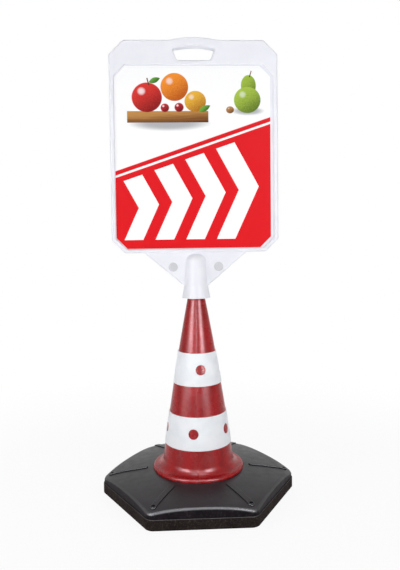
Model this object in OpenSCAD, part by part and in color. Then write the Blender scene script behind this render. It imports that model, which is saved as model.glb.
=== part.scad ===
// Cone sign: a two-sided sign head on a road cone with a weighted hexagonal base.
// Millimetres, +Z up. The axis of the cone is the Z axis, and the base stands on Z = 0.
// The front of the sign faces -Y, and two corners of the base point along X.

/* [Base] */
// Distance from the axis to a sharp corner of the hexagonal footprint
base_corner_r = 245; // [235:1:280]
// Rounding radius of the upright corners
base_corner_round = 22; // [16:1:30]
// Height of the tray, where the seam is
tray_h = 26; // [20:1:34]
// Thickness of the tray's side walls
tray_wall = 6; // [5:0.5:9]
// Thickness of the tray's floor
tray_floor = 4; // [3:0.5:6]
// How far the tray stands out past the cover
seam_ledge = 2; // [1:0.5:3]
// Height of the cover's crown above the seam, before the seat of the cone is cut flat
dome_rise = 42; // [38:1:50]
// How much the crowned top falls from the axis to a corner
dome_drop = 26; // [20:1:30]
// Wall thickness of the cover
cover_wall = 4; // [3:0.5:5]
// Bevel of the cover's arched top edges at the middle of a side
cover_edge = 6; // [3:0.5:8]
// Depth of the lip under the cover that nests in the tray
nest_h = 6; // [4:0.5:10]
// Thickness of that lip
nest_t = 2.5; // [2:0.5:4]
// Width of the raised ribs on the cover
rib_w = 14; // [11:1:18]
// Height of the ribs above the cover
rib_h = 2.5; // [1.5:0.5:4]
// Gap from the seat of the cone to the inner end of a rib
rib_gap = 13; // [6:1:20]
// Distance from a sharp corner to the outer end of its rib
rib_end_inset = 17; // [15:1:24]
// How far a sharp corner of the ballast block stays in from that of the footprint
ballast_inset = 49; // [39:1:95]
// Rounding radius of the ballast's corners
ballast_round = 20; // [8:1:30]
// Height of the ballast block
ballast_h = 34; // [20:1:38]

/* [Cone] */
// Radius of the cone just above its flared foot
cone_body_r = 88; // [80:1:95]
// Radius of the cone at its open top
cone_top_r = 21; // [20:0.5:25]
// Height of the cone from its seat to its open top
cone_h = 435; // [380:1:500]
// How far the side of the cone swells past a straight line
cone_bulge = 3; // [0:0.5:6]
// Wall thickness of the cone
cone_wall = 3; // [2.5:0.5:4]
// Radius of the hollow sweep between the foot and the body
flare_round = 20; // [12:1:28]
// Height of the foot's rim
foot_h = 9; // [8:0.5:14]
// Inner rounding radius of the foot's rim
foot_in_round = 3; // [2:0.5:5]
// Flat margin of the seat outside the foot
seat_margin = 2; // [1:0.5:5]
// Number of screws that hold the foot
cone_screw_n = 6; // [4:1:8]
// Radius of the screw bosses inside the foot
cone_boss_r = 6; // [5:0.5:8]
// Height of those bosses
cone_boss_h = 20; // [15:1:26]

/* [Sleeves] */
// Thickness of the white sleeves
sleeve_t = 1.5; // [1:0.25:2.5]
// Height of each sleeve
sleeve_h = 79; // [60:1:90]
// Height of the lower sleeve above the seat
lower_sleeve_up = 66; // [50:1:80]
// Height of the upper sleeve above the seat
upper_sleeve_up = 218; // [190:1:240]
// Number of studs that hold the lower sleeve
lower_stud_n = 5; // [3:1:6]
// Number of studs that hold the upper sleeve
upper_stud_n = 3; // [2:1:4]
// Turn of the lower studs from the front
lower_stud_turn = -10.6; // [-36:0.1:36]
// Turn of the upper studs from the front
upper_stud_turn = 7; // [-60:0.1:60]
// Radius of the studs
stud_r = 11.7; // [8:0.1:14]
// How far the studs stay below the outside of the sleeve
stud_sink = 0.6; // [0:0.1:1]

/* [Neck and bush] */
// Radius of the upright neck that the head stands on
neck_r = 17; // [14:0.5:18]
// Height of the neck above the flange of its plug
neck_h = 60; // [58:1:80]
// Wall thickness of the hollow neck
neck_wall = 4; // [3:0.5:6]
// Depth of the plug in the cone
plug_depth = 26; // [15:1:40]
// Thickness of the plug's flange
plug_flange_t = 3; // [2:0.5:5]
// Wall thickness of the bush
bush_wall = 4; // [3:0.5:4.5]
// Height of the bush
bush_h = 54; // [44:1:57]
// How far the lower flange of the bush stands out
bush_flange = 4.5; // [3:0.5:6]
// Thickness of that flange
bush_flange_t = 5; // [3:0.5:7]
// How far the upper lip of the bush stands out
bush_lip = 2.5; // [1.5:0.5:3]
// Thickness of that lip
bush_lip_t = 4; // [2:0.5:5]

/* [Sign head] */
// Width of the frame
sign_w = 416; // [360:1:480]
// Height of the frame, without the handle's arch
sign_h = 522; // [460:1:600]
// Thickness of the frame over both halves
sign_t = 32; // [28:1:40]
// Wall thickness of the two halves
shell_wall = 3; // [2.5:0.5:3.5]
// Bevel of the lower corners of the frame
cut_bottom = 32; // [24:1:45]
// Bevel of the upper corners of the frame
cut_top = 35; // [24:1:45]
// Rounding radius at the ends of those bevels
frame_round = 9; // [6:0.5:14]
// Width of the side borders
border_side = 11; // [10:0.5:20]
// Width of the bottom border
border_bottom = 9; // [8:0.5:20]
// Width of the top border, which holds the hand hole
border_top = 60; // [56:1:80]
// Depth of the recess for the poster
recess_depth = 5; // [3:0.5:6]
// Bevel of the corners of the recess
recess_cut = 27; // [20:1:34]
// Thickness of a poster
poster_t = 1.5; // [0.5:0.25:2.5]
// Gap between the poster and the recess on the left
poster_left_gap = 1; // [0.5:0.5:6]
// Gap between the poster and the recess on the right
poster_right_gap = 8; // [0.5:0.5:12]
// Gap between the poster and the recess above and below
poster_end_gap = 2; // [0.5:0.5:6]

/* [Handle] */
// Half of the length of the handle's arch
arch_half = 60; // [56:1:80]
// Rise of the arch above the frame
arch_rise = 7; // [3:0.5:12]
// Half of the width of the hand hole at the top of its sides
hole_top_half = 52.5; // [46:0.5:55]
// Half of the width of the hand hole at its bottom
hole_bottom_half = 41; // [34:0.5:46]
// Height of the sides of the hand hole
hole_side_h = 27; // [24:0.5:28]
// Rise of the arched top of the hand hole above its sides
hole_arch = 6; // [3:0.5:9]
// Rounding radius of the corners of the hand hole
hole_round = 7; // [5:0.5:10]
// Distance from the top of the frame down to the bottom of the hand hole
hole_drop = 48; // [44:0.5:50]

/* [Gusset and socket] */
// Radius of the socket at its mouth
mouth_r = 35.6; // [34:0.2:42]
// Radius of the socket at its knee
knee_r = 30; // [29:0.2:34]
// Radius of the socket at its upper end
socket_top_r = 26; // [25:0.2:30]
// Height of the knee above the mouth
knee_h = 29; // [24:1:36]
// Height of the socket's straight part above the mouth
socket_straight_h = 91; // [84:1:110]
// Rounding radius of the closed upper end of the socket
cap_round = 20; // [14:1:24]
// Gap between the closed end of the socket and the frame
cap_gap = 3; // [0:0.5:10]
// How far the mouth reaches down past the flange of the plug
skirt_drop = 7; // [4:0.5:14]
// Thickness of the inner ledges that turn on the bush
ledge_t = 5; // [3:0.5:8]
// Half of the gusset's width at the frame, at the centres of its rounded corners
gusset_top_half = 127; // [110:1:150]
// Half of the gusset's width at its tip, at the centres of its rounded corners
gusset_tip_half = 27; // [22:1:32]
// Height of the gusset
gusset_h = 81; // [70:1:90]
// Rounding radius of the gusset's corners
gusset_round = 4.5; // [4:0.5:8]
// Thickness of the gusset over both halves
gusset_t = 18; // [16:1:26]

/* [Fasteners] */
// Distance of the clamp bolts from the axis
clamp_x = 57; // [50:0.5:62]
// Distance of the clamp bolts below the frame
clamp_drop = 36; // [28:0.5:42]
// Radius of the disc heads of the clamp bolts and nuts
clamp_head_r = 11.2; // [9:0.2:14]
// Thickness of those heads
clamp_head_t = 2.5; // [1.5:0.5:4]
// Radius of the clamp bolts
clamp_bolt_r = 3; // [2.5:0.5:4]
// Wall thickness of the barrel of a clamp nut
clamp_nut_wall = 2; // [1.5:0.5:3]
// Radius of the clamp bosses inside the gusset
clamp_boss_r = 9; // [8:0.5:11]
// Distance of the outer shell screws from the axis
shell_screw_x = 150; // [110:1:170]
// Number of rows of shell screws
shell_screw_rows = 3; // [2:1:5]
// Radius of the heads of the self-tapping screws
screw_head_r = 4.2; // [3.5:0.1:5]
// Thickness of those heads
screw_head_t = 2; // [1.5:0.1:2.5]
// Radius of the self-tapping screws
screw_r = 2; // [1.5:0.1:2.5]
// Radius of the bosses that the self-tapping screws bite into
screw_boss_r = 7; // [6:0.5:9]

/* [Hidden] */
$fn = 96;

// Colours of the pieces
cover_black = "#2E2B2F";
tray_black = "#26241F";
concrete_grey = "#8C8A84";
cone_red = "#A3161C";
sleeve_white = "#F0F1F4";
sign_white = "#E9E9EE";
poster_red = "#E41C24";
cap_grey = "#CFCFD2";
screw_steel = "#9A9B9E";
plug_black = "#303030";
bush_natural = "#D9D6CC";

// Clearance between pieces that stay put
fit_clear = 0.2;
// Radial clearance of the running fits of the bush
run_clear = 0.1;
// Gap above and below the ledges on the bush
axial_clear = 0.2;
// Overrun of every cut
cut_over = 1;
// Sides of the base
hex_n = 6;
// Facet number of the wide arcs of the handle
arch_fn = 720;
// Steps of the crowned top, of the cone's side and of a quarter round
dome_steps = 10;
side_steps = 16;
round_steps = 8;
// What a bevel of 45 degrees loses for each unit that the outline moves in
bevel_loss_share = 2 - sqrt(2);

// Base, worked out
dome_top_z = tray_h + dome_rise;
dome_r = (pow(base_corner_r, 2) + pow(dome_drop, 2)) / (2 * dome_drop);
cover_apothem = base_corner_r * cos(180 / hex_n) - seam_ledge;
nest_out = tray_wall + fit_clear;
nest_in = nest_out + nest_t;
foot_round = foot_in_round + cone_wall;
lean = atan((cone_body_r - cone_top_r - 4 * cone_bulge) / cone_h);
flare_x = cone_body_r + flare_round * cos(lean);
foot_r = flare_x + foot_round;
seat_r = foot_r + seat_margin;
seat_z = dome_z(seat_r);
rib_in = seat_r + rib_gap + rib_w / 2;
rib_out = base_corner_r - rib_end_inset - rib_w / 2;
cover_head_z = dome_z(rib_out) - cover_wall / 2;
cover_screw_end = tray_floor + tray_wall;
ballast_corner_r = base_corner_r - ballast_inset;

// Cone, worked out
flare_z = seat_z + foot_h + flare_round;
body_z = flare_z - flare_round * sin(lean);
cone_top_z = seat_z + cone_h;
cone_screw_ring = cone_body_r - cone_wall - cone_boss_r;
lower_sleeve_z = seat_z + lower_sleeve_up;
upper_sleeve_z = seat_z + upper_sleeve_up;
sleeve_out = fit_clear + sleeve_t;

// Neck and bush, worked out
plug_top_z = cone_top_z + plug_flange_t;
neck_top_z = plug_top_z + neck_h;
bush_r = neck_r + run_clear + bush_wall;
bush_top_z = plug_top_z + bush_h;

// Sign head, worked out
half_t = sign_t / 2;
gusset_half_t = gusset_t / 2;
mouth_z = plug_top_z - skirt_drop;
knee_z = mouth_z + knee_h;
socket_top_z = mouth_z + socket_straight_h;
frame_z = socket_top_z + cap_round + cap_gap;
frame_top_z = frame_z + sign_h;
floor_out = half_t - recess_depth;
floor_in = floor_out - shell_wall;
recess_half = sign_w / 2 - border_side;
recess_z = frame_z + border_bottom;
recess_top_z = frame_top_z - border_top;
poster_half = recess_half - (poster_left_gap + poster_right_gap) / 2;
poster_shift = (poster_left_gap - poster_right_gap) / 2;
arch_r = (pow(arch_half, 2) + pow(arch_rise, 2)) / (2 * arch_rise);
hole_z = frame_top_z - hole_drop;
hole_top_z = hole_z + hole_side_h + hole_arch;
hole_arch_r = (pow(hole_top_half, 2) + pow(hole_arch, 2)) / (2 * hole_arch);
hole_lean = atan((hole_top_half - hole_bottom_half) / hole_side_h);
hole_reach = hole_bottom_half + (hole_top_z - hole_z) * tan(hole_lean);
lower_ledge_z = plug_top_z + bush_flange_t + axial_clear;
upper_ledge_z = bush_top_z - bush_lip_t - axial_clear - ledge_t;
clamp_z = frame_z - clamp_drop;
clamp_nut_r = clamp_bolt_r + fit_clear + clamp_nut_wall;
shell_row_gap = (recess_top_z - recess_z) / shell_screw_rows;
half_space = sign_w + frame_top_z;

// Height of the crowned top at a distance from the axis
function dome_z(rho) = dome_top_z - dome_r + sqrt(pow(dome_r, 2) - pow(rho, 2));

// Radius of the cone's side at a height above its flare
function cone_r(z) =
  let (t = (z - body_z) / (cone_top_z - body_z))
  cone_body_r + (cone_top_r - cone_body_r) * t + 4 * cone_bulge * t * (1 - t);

// Points of a list in reverse order
function reversed(list) = [for (i = [len(list) - 1:-1:0]) list[i]];

// Points of an arc about a centre, from one angle to another
function arc(centre, r, from, to) =
  [for (i = [0:round_steps]) let (a = from + (to - from) * i / round_steps) centre + r * [cos(a), sin(a)]];

// Side of the cone, moved inwards by an inset, from the foot's rim to the top
function cone_outline(inset) = concat(
  [[foot_r - inset, seat_z]],
  arc([foot_r - foot_round, seat_z + foot_h - foot_round], foot_round - inset, 0, 90),
  arc([flare_x, flare_z], flare_round + inset, 270, 180 + lean),
  [for (i = [1:side_steps]) let (z = body_z + (cone_top_z - body_z) * i / side_steps) [cone_r(z) - inset, z]]
);

// Radius of the outside of the socket at a height
function socket_r(z) = lookup(z, [[mouth_z, mouth_r], [knee_z, knee_r], [socket_top_z, socket_top_r]]);

// Outward normal of the edge that leaves a corner, going round anticlockwise
function edge_normal(core, i) =
  let (step = core[(i + 1) % len(core)] - core[i % len(core)])
  [step[1], -step[0]] / norm(step);

// Octagon of bevelled corners, going round anticlockwise from the lower left
function octagon(half, z, top_z, low_cut, high_cut) = [
  [-half + low_cut, z], [half - low_cut, z], [half, z + low_cut], [half, top_z - high_cut],
  [half - high_cut, top_z], [-half + high_cut, top_z], [-half, top_z - high_cut], [-half, z + low_cut]
];

// Corner centres of the frame's outline
frame_core = octagon(
  sign_w / 2 - frame_round, frame_z + frame_round, frame_top_z - frame_round,
  cut_bottom - frame_round * bevel_loss_share, cut_top - frame_round * bevel_loss_share
);

// Corner centres of the hand hole
hole_core = [
  [-hole_bottom_half + hole_round * tan(45 - hole_lean / 2), hole_z + hole_round],
  [hole_bottom_half - hole_round * tan(45 - hole_lean / 2), hole_z + hole_round],
  [hole_reach - hole_round * tan(45 + hole_lean / 2), hole_top_z - hole_round],
  [-hole_reach + hole_round * tan(45 + hole_lean / 2), hole_top_z - hole_round]
];

// Corner centres of the gusset
gusset_core = [
  [-gusset_tip_half, frame_z - gusset_h], [gusset_tip_half, frame_z - gusset_h],
  [gusset_top_half, frame_z + gusset_round], [-gusset_top_half, frame_z + gusset_round]
];

// Corner centres of a hexagon with a sharp corner at a distance from the axis
function hex_core(corner_r, r) =
  [for (i = [0:hex_n - 1]) (corner_r - r / cos(180 / hex_n)) * [cos(i * 360 / hex_n), sin(i * 360 / hex_n)]];

// Convex outline with round corners about a list of corner centres
module round_polygon(core, r) {
  polygon([
    for (i = [0:len(core) - 1])
      each [core[i] + r * edge_normal(core, i + len(core) - 1), core[i] + r * edge_normal(core, i)]
  ]);
  for (corner = core) translate(corner) circle(r = r);
}

// Upright prism on the base's hexagon, moved inwards by an inset
module hex_prism(inset, z, top_z) {
  translate([0, 0, z])
    linear_extrude(top_z - z)
      round_polygon(hex_core(base_corner_r, base_corner_round), base_corner_round - inset);
}

// Crowned body over the whole base, raised by a lift and flat where the cone stands
module dome_body(lift) {
  step = (base_corner_r - seat_r) / dome_steps;
  rotate_extrude()
    polygon(concat(
      [[0, -cut_over], [base_corner_r, -cut_over]],
      [for (i = [0:dome_steps]) let (rho = base_corner_r - i * step) [rho, dome_z(rho) + lift]],
      [[0, seat_z + lift]]
    ));
}

// Wedge along one side of the cover, which bevels its arched top edge
module edge_wedge() {
  edge_z = dome_z(cover_apothem);
  low = [cover_apothem, edge_z - cover_edge];
  high = [cover_apothem - cover_edge, edge_z + cover_edge * cover_apothem / dome_r];
  run = (low - high) / 2;
  rotate([90, 0, 0])
    translate([0, 0, -base_corner_r])
      linear_extrude(2 * base_corner_r)
        polygon([low + run, [low[0] + run[0], high[1] - run[1]], high - run]);
}

// Copies of a piece at every corner direction of the base
module at_corners() {
  for (i = [0:hex_n - 1]) rotate([0, 0, i * 360 / hex_n]) children();
}

// Raised rib along one corner direction
module rib() {
  difference() {
    intersection() {
      linear_extrude(dome_top_z + rib_h) {
        translate([rib_in, -rib_w / 2]) square([rib_out - rib_in, rib_w]);
        translate([rib_in, 0]) circle(d = rib_w);
        translate([rib_out, 0]) circle(d = rib_w);
      }
      dome_body(rib_h);
    }
    dome_body(-cover_wall / 2);
  }
}

module base_tray() {
  color(tray_black)
    difference() {
      union() {
        difference() {
          hex_prism(0, 0, tray_h);
          hex_prism(tray_wall, tray_floor, tray_h + cut_over);
        }
        at_corners() translate([rib_out, 0, tray_floor / 2]) cylinder(r = screw_boss_r, h = tray_h - tray_floor / 2);
      }
      at_corners()
        translate([rib_out, 0, cover_screw_end]) cylinder(r = screw_r + fit_clear, h = tray_h);
    }
}

module ballast_block() {
  color(concrete_grey)
    translate([0, 0, tray_floor])
      linear_extrude(ballast_h) round_polygon(hex_core(ballast_corner_r, ballast_round), ballast_round);
}

// Lip under the cover, with the ring that joins it to the cover's wall
module nest_lip() {
  difference() {
    hex_prism(seam_ledge + cover_wall / 2, tray_h, tray_h + nest_t);
    hex_prism(nest_in, tray_h - cut_over, tray_h + nest_t + cut_over);
  }
  difference() {
    hex_prism(nest_out, tray_h - nest_h, tray_h + nest_t / 2);
    hex_prism(nest_in, tray_h - nest_h - cut_over, tray_h + nest_t + cut_over);
  }
}

module base_cover() {
  color(cover_black)
    difference() {
      union() {
        difference() {
          intersection() {
            hex_prism(seam_ledge, tray_h, dome_top_z);
            dome_body(0);
          }
          intersection() {
            hex_prism(seam_ledge + cover_wall, tray_h - cut_over, dome_top_z);
            dome_body(-cover_wall);
          }
          for (i = [0:hex_n - 1]) rotate([0, 0, (i + 1 / 2) * 360 / hex_n]) edge_wedge();
        }
        at_corners() {
          rib();
          translate([rib_out, 0, tray_h]) cylinder(r = screw_boss_r, h = cover_head_z - tray_h);
        }
        nest_lip();
      }
      at_corners() {
        translate([rib_out, 0, -cut_over]) cylinder(r = screw_r + fit_clear, h = dome_top_z);
        translate([rib_out, 0, cover_head_z]) cylinder(r = screw_head_r + fit_clear, h = dome_top_z);
      }
      cone_screw_places()
        translate([0, 0, -cut_over]) cylinder(r = screw_r + fit_clear, h = dome_top_z + cut_over);
    }
}

// Pan-head screw along Z with the underside of its head at the origin and its tip below
module screw(length) {
  cylinder(r = screw_head_r, h = screw_head_t);
  translate([0, 0, -length]) cylinder(r = screw_r, h = length + screw_head_t / 2);
}

module cover_screws() {
  color(screw_steel)
    at_corners() translate([rib_out, 0, cover_head_z]) screw(cover_head_z - cover_screw_end);
}

// Copies of a piece at every screw of the cone's foot
module cone_screw_places() {
  for (i = [0:cone_screw_n - 1]) rotate([0, 0, (i + 1 / 2) * 360 / cone_screw_n]) translate([cone_screw_ring, 0, 0]) children();
}

// Part of a cone-shaped layer between two heights and two distances from the side of the cone
module cone_layer(z, top_z, inner, outer) {
  heights = [for (i = [0:side_steps]) z + (top_z - z) * i / side_steps];
  rotate_extrude()
    polygon(concat(
      [for (h = heights) [cone_r(h) + outer, h]],
      reversed([for (h = heights) [cone_r(h) + inner, h]])
    ));
}

// Round bars through a sleeve's height, spread about the axis
module stud_bars(z, count, turn, r) {
  for (i = [0:count - 1])
    rotate([0, 0, turn - 90 + i * 360 / count])
      translate([0, 0, z + sleeve_h / 2]) rotate([0, 90, 0]) cylinder(r = r, h = foot_r);
}

// Studs that stand out of the cone into the holes of a sleeve
module studs(z, count, turn) {
  intersection() {
    stud_bars(z, count, turn, stud_r);
    cone_layer(z, z + sleeve_h, -cone_wall, sleeve_out - stud_sink);
  }
}

// Bosses for the screws of the foot, with a fin from each boss to the foot's rim
module foot_bosses() {
  intersection() {
    cone_screw_places()
      translate([0, 0, seat_z]) {
        cylinder(r = cone_boss_r, h = cone_boss_h);
        translate([0, -cone_boss_r / 2, 0]) cube([foot_r, cone_boss_r, cone_boss_h]);
      }
    rotate_extrude() polygon(concat([[0, seat_z]], cone_outline(cone_wall / 2), [[0, cone_top_z]]));
  }
}

module cone_body() {
  color(cone_red)
    difference() {
      union() {
        rotate_extrude() polygon(concat(cone_outline(0), reversed(cone_outline(cone_wall))));
        studs(lower_sleeve_z, lower_stud_n, lower_stud_turn);
        studs(upper_sleeve_z, upper_stud_n, upper_stud_turn);
        foot_bosses();
      }
      cone_screw_places()
        translate([0, 0, seat_z - cut_over])
          cylinder(r = screw_r + fit_clear, h = cone_boss_h - cone_wall + cut_over);
    }
}

module cone_screws() {
  length = cover_wall + cone_boss_h - 2 * cone_wall;
  color(screw_steel)
    cone_screw_places() translate([0, 0, seat_z - cover_wall]) mirror([0, 0, 1]) screw(length);
}

// White sleeve round the cone with holes for its studs
module sleeve(z, count, turn) {
  difference() {
    cone_layer(z, z + sleeve_h, fit_clear, sleeve_out);
    stud_bars(z, count, turn, stud_r + fit_clear);
  }
}

module lower_sleeve() {
  color(sleeve_white) sleeve(lower_sleeve_z, lower_stud_n, lower_stud_turn);
}

module upper_sleeve() {
  color(sleeve_white) sleeve(upper_sleeve_z, upper_stud_n, upper_stud_turn);
}

module neck_plug() {
  plug_r = cone_top_r - cone_wall - fit_clear;
  bore_r = neck_r - neck_wall;
  color(plug_black)
    rotate_extrude()
      polygon([
        [bore_r, cone_top_z - plug_depth], [plug_r, cone_top_z - plug_depth], [plug_r, cone_top_z],
        [cone_top_r, cone_top_z], [cone_top_r, plug_top_z], [neck_r, plug_top_z],
        [neck_r, neck_top_z - neck_wall / 2], [neck_r - neck_wall / 2, neck_top_z], [0, neck_top_z],
        [0, neck_top_z - neck_wall], [bore_r, neck_top_z - neck_wall]
      ]);
}

module socket_bush() {
  bore_r = neck_r + run_clear;
  flange_r = bush_r + bush_flange;
  lip_r = bush_r + bush_lip;
  flange_z = plug_top_z + bush_flange_t;
  lip_z = bush_top_z - bush_lip_t;
  color(bush_natural)
    rotate_extrude()
      polygon([
        [bore_r, plug_top_z], [flange_r, plug_top_z], [flange_r, flange_z], [bush_r, flange_z],
        [bush_r, lip_z], [lip_r, lip_z], [lip_r, bush_top_z], [bore_r, bush_top_z]
      ]);
}

// Outline of the frame, moved inwards by an inset
module frame_outline(inset) {
  round_polygon(frame_core, frame_round - inset);
}

// Raised arch of the handle
module arch_outline() {
  intersection() {
    translate([0, frame_top_z + arch_rise - arch_r]) circle(r = arch_r, $fn = arch_fn);
    translate([-arch_half, frame_top_z - frame_round]) square([2 * arch_half, frame_round + arch_rise + cut_over]);
  }
}

// Outline of the hand hole, widened by an outset
module hole_outline(outset) {
  intersection() {
    round_polygon(hole_core, hole_round + outset);
    translate([0, hole_top_z - hole_arch_r]) circle(r = hole_arch_r + outset, $fn = arch_fn);
  }
}

// Outline of the recess, widened by an outset
module recess_outline(outset) {
  cut = recess_cut + outset * bevel_loss_share;
  polygon(octagon(recess_half + outset, recess_z - outset, recess_top_z + outset, cut, cut));
}

// Layer of an upright outline between two depths, measured outwards from the parting plane
module layer(depth, far_depth) {
  translate([0, -depth, 0]) rotate([90, 0, 0]) linear_extrude(far_depth - depth) children();
}

// Round bar across the head between two depths
module cross_bar(x, z, r, depth, far_depth) {
  translate([x, -depth, z]) rotate([90, 0, 0]) cylinder(r = r, h = far_depth - depth);
}

// Turned body of the socket, moved inwards by an inset and lengthened at its mouth
module socket_body(inset, below) {
  rotate_extrude()
    polygon(concat(
      [[0, mouth_z - below], [mouth_r - inset, mouth_z - below], [mouth_r - inset, mouth_z], [knee_r - inset, knee_z]],
      arc([socket_top_r - cap_round, socket_top_z], cap_round - inset, 0, 90),
      [[0, socket_top_z + cap_round - inset]]
    ));
}

// Ring inside the socket that turns on the bush
module ledge(z) {
  rotate_extrude()
    polygon([
      [bush_r + run_clear, z], [socket_r(z) - shell_wall / 2, z],
      [socket_r(z + ledge_t) - shell_wall / 2, z + ledge_t], [bush_r + run_clear, z + ledge_t]
    ]);
}

// Keeps what lies in front of the parting plane
module front_only() {
  intersection() {
    children();
    translate([-half_space, -half_space, 0]) cube([2 * half_space, half_space, half_space]);
  }
}

// Hollow inside the frame
module frame_hollow() {
  difference() {
    union() {
      layer(-cut_over, floor_in) frame_outline(shell_wall);
      layer(-cut_over, half_t - shell_wall)
        difference() {
          frame_outline(shell_wall);
          recess_outline(shell_wall);
        }
    }
    layer(-2 * cut_over, half_t) hole_outline(shell_wall);
  }
}

// Hollow inside the gusset
module gusset_hollow() {
  difference() {
    layer(-cut_over, gusset_half_t - shell_wall) round_polygon(gusset_core, gusset_round - shell_wall);
    layer(-2 * cut_over, half_t) frame_outline(0);
    socket_body(0, cut_over);
  }
}

// Places of the shell screws on both sides of the head
module shell_screw_places() {
  for (side = [-1, 1], row = [0:shell_screw_rows - 1])
    translate([side * shell_screw_x, 0, recess_z + (row + 1 / 2) * shell_row_gap]) children();
}

// Places of the clamp bolts
module clamp_places() {
  for (side = [-1, 1]) translate([side * clamp_x, 0, clamp_z]) children();
}

// Half of the head without its screw holes
module half_shell() {
  difference() {
    union() {
      layer(0, half_t) frame_outline(0);
      layer(0, half_t) arch_outline();
      layer(0, gusset_half_t) round_polygon(gusset_core, gusset_round);
      front_only() socket_body(0, 0);
    }
    layer(floor_out, half_t + cut_over) recess_outline(0);
    frame_hollow();
    gusset_hollow();
    socket_body(shell_wall, cut_over);
    layer(-cut_over, half_t + cut_over) hole_outline(0);
  }
  front_only() {
    ledge(lower_ledge_z);
    ledge(upper_ledge_z);
  }
  clamp_places() cross_bar(0, 0, clamp_boss_r, 0, gusset_half_t - shell_wall / 2);
  shell_screw_places() cross_bar(0, 0, screw_boss_r, 0, floor_in + shell_wall / 2);
}

module sign_front_shell() {
  color(sign_white)
    difference() {
      half_shell();
      clamp_places() cross_bar(0, 0, clamp_bolt_r + fit_clear, -cut_over, half_t);
      shell_screw_places() cross_bar(0, 0, screw_r + fit_clear, -cut_over, floor_in);
    }
}

module sign_rear_shell() {
  color(sign_white)
    rotate([0, 0, 180])
      difference() {
        half_shell();
        clamp_places() cross_bar(0, 0, clamp_nut_r + fit_clear, -cut_over, half_t);
        shell_screw_places() {
          cross_bar(0, 0, screw_r + fit_clear, -cut_over, half_t);
          cross_bar(0, 0, screw_head_r + fit_clear, floor_out - screw_head_t, half_t);
        }
      }
}

// Printed sheet in the recess of a half
module poster() {
  layer(floor_out, floor_out + poster_t)
    translate([poster_shift, 0])
      polygon(octagon(
        poster_half, recess_z + poster_end_gap, recess_top_z - poster_end_gap, recess_cut, recess_cut
      ));
}

module front_poster() {
  color(poster_red) poster();
}

module rear_poster() {
  color(poster_red) rotate([0, 0, 180]) poster();
}

module clamp_bolts() {
  color(cap_grey)
    clamp_places() {
      cross_bar(0, 0, clamp_head_r, gusset_half_t, gusset_half_t + clamp_head_t);
      cross_bar(0, 0, clamp_bolt_r, -gusset_half_t + shell_wall, gusset_half_t + clamp_head_t / 2);
    }
}

module clamp_nuts() {
  color(cap_grey)
    rotate([0, 0, 180])
      clamp_places()
        difference() {
          union() {
            cross_bar(0, 0, clamp_head_r, gusset_half_t, gusset_half_t + clamp_head_t);
            cross_bar(0, 0, clamp_nut_r, fit_clear, gusset_half_t + clamp_head_t / 2);
          }
          cross_bar(0, 0, clamp_bolt_r + fit_clear, -cut_over, gusset_half_t - shell_wall + fit_clear);
        }
}

module shell_screws() {
  color(screw_steel)
    rotate([0, 0, 180])
      shell_screw_places()
        translate([0, -floor_out + screw_head_t, 0])
          rotate([90, 0, 0]) screw(floor_out + floor_in - screw_head_t - shell_wall / 2);
}

base_tray();
ballast_block();
base_cover();
cover_screws();
cone_body();
cone_screws();
lower_sleeve();
upper_sleeve();
neck_plug();
socket_bush();
sign_front_shell();
sign_rear_shell();
front_poster();
rear_poster();
clamp_bolts();
clamp_nuts();
shell_screws();
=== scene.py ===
"""Looks of a cone sign: a two-sided sign head on a road cone with a weighted hexagonal base.

Lengths are metres. +Z is up, the axis of the cone is the Z axis, and the front of the sign faces -Y.
"""

from __future__ import annotations

import logging
import math
from collections.abc import Iterable
from dataclasses import dataclass
from enum import Enum
from typing import NamedTuple

import bmesh
import bpy
from bmesh.types import BMEdge, BMesh, BMFace, BMVert
from bpy.types import Material, Node, NodeSocket, NodeTree, Object
from mathutils import Color, Matrix, Vector


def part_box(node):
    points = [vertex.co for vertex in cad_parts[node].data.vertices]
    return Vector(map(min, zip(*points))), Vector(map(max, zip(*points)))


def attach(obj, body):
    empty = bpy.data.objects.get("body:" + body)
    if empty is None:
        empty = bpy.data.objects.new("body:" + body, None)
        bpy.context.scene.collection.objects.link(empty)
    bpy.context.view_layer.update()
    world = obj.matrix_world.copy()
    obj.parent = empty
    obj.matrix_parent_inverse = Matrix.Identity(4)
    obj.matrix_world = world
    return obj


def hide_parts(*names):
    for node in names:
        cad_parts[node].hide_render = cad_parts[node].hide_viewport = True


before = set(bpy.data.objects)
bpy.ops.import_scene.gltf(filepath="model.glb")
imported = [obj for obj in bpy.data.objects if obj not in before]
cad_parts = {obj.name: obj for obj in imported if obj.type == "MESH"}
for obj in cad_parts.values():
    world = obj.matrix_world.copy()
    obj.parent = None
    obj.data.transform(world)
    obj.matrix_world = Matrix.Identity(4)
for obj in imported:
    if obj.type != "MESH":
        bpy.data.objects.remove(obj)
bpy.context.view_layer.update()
LOG = logging.getLogger("cone_sign")

QUARTER = math.pi / 2
FULL = 2 * math.pi
HEX_SIDES = 6
HEX_HALF = math.pi / HEX_SIDES
TURN_STEPS = 144
BORE_STEPS = 32
CORNER_STEPS = 6
ROLL_STEPS = 5
EDGE_STEPS = 4
PAIR_STEPS = 2
CREASE = 32.0
MATRIX_SIZE = 4
BYTE_MOST = 255
WELD = 1e-6


class Rim(Enum):
    """How the edge of an end face is finished: drawn in, or spread out for a cutting tool."""

    ROUND = 1.0
    FLARE = -1.0


class Joining(Enum):
    """What a tool does to the piece that it meets."""

    ADD = "UNION"
    CUT = "DIFFERENCE"


class Side(Enum):
    """The half of the head that a piece belongs to, as a turn about the axis."""

    FRONT = 0.0
    REAR = math.pi


def arch_radius(half: float, rise: float) -> float:
    """Radius of an arch with half of its width and its rise."""
    return (half ** 2 + rise ** 2) / (2 * rise)


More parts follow.
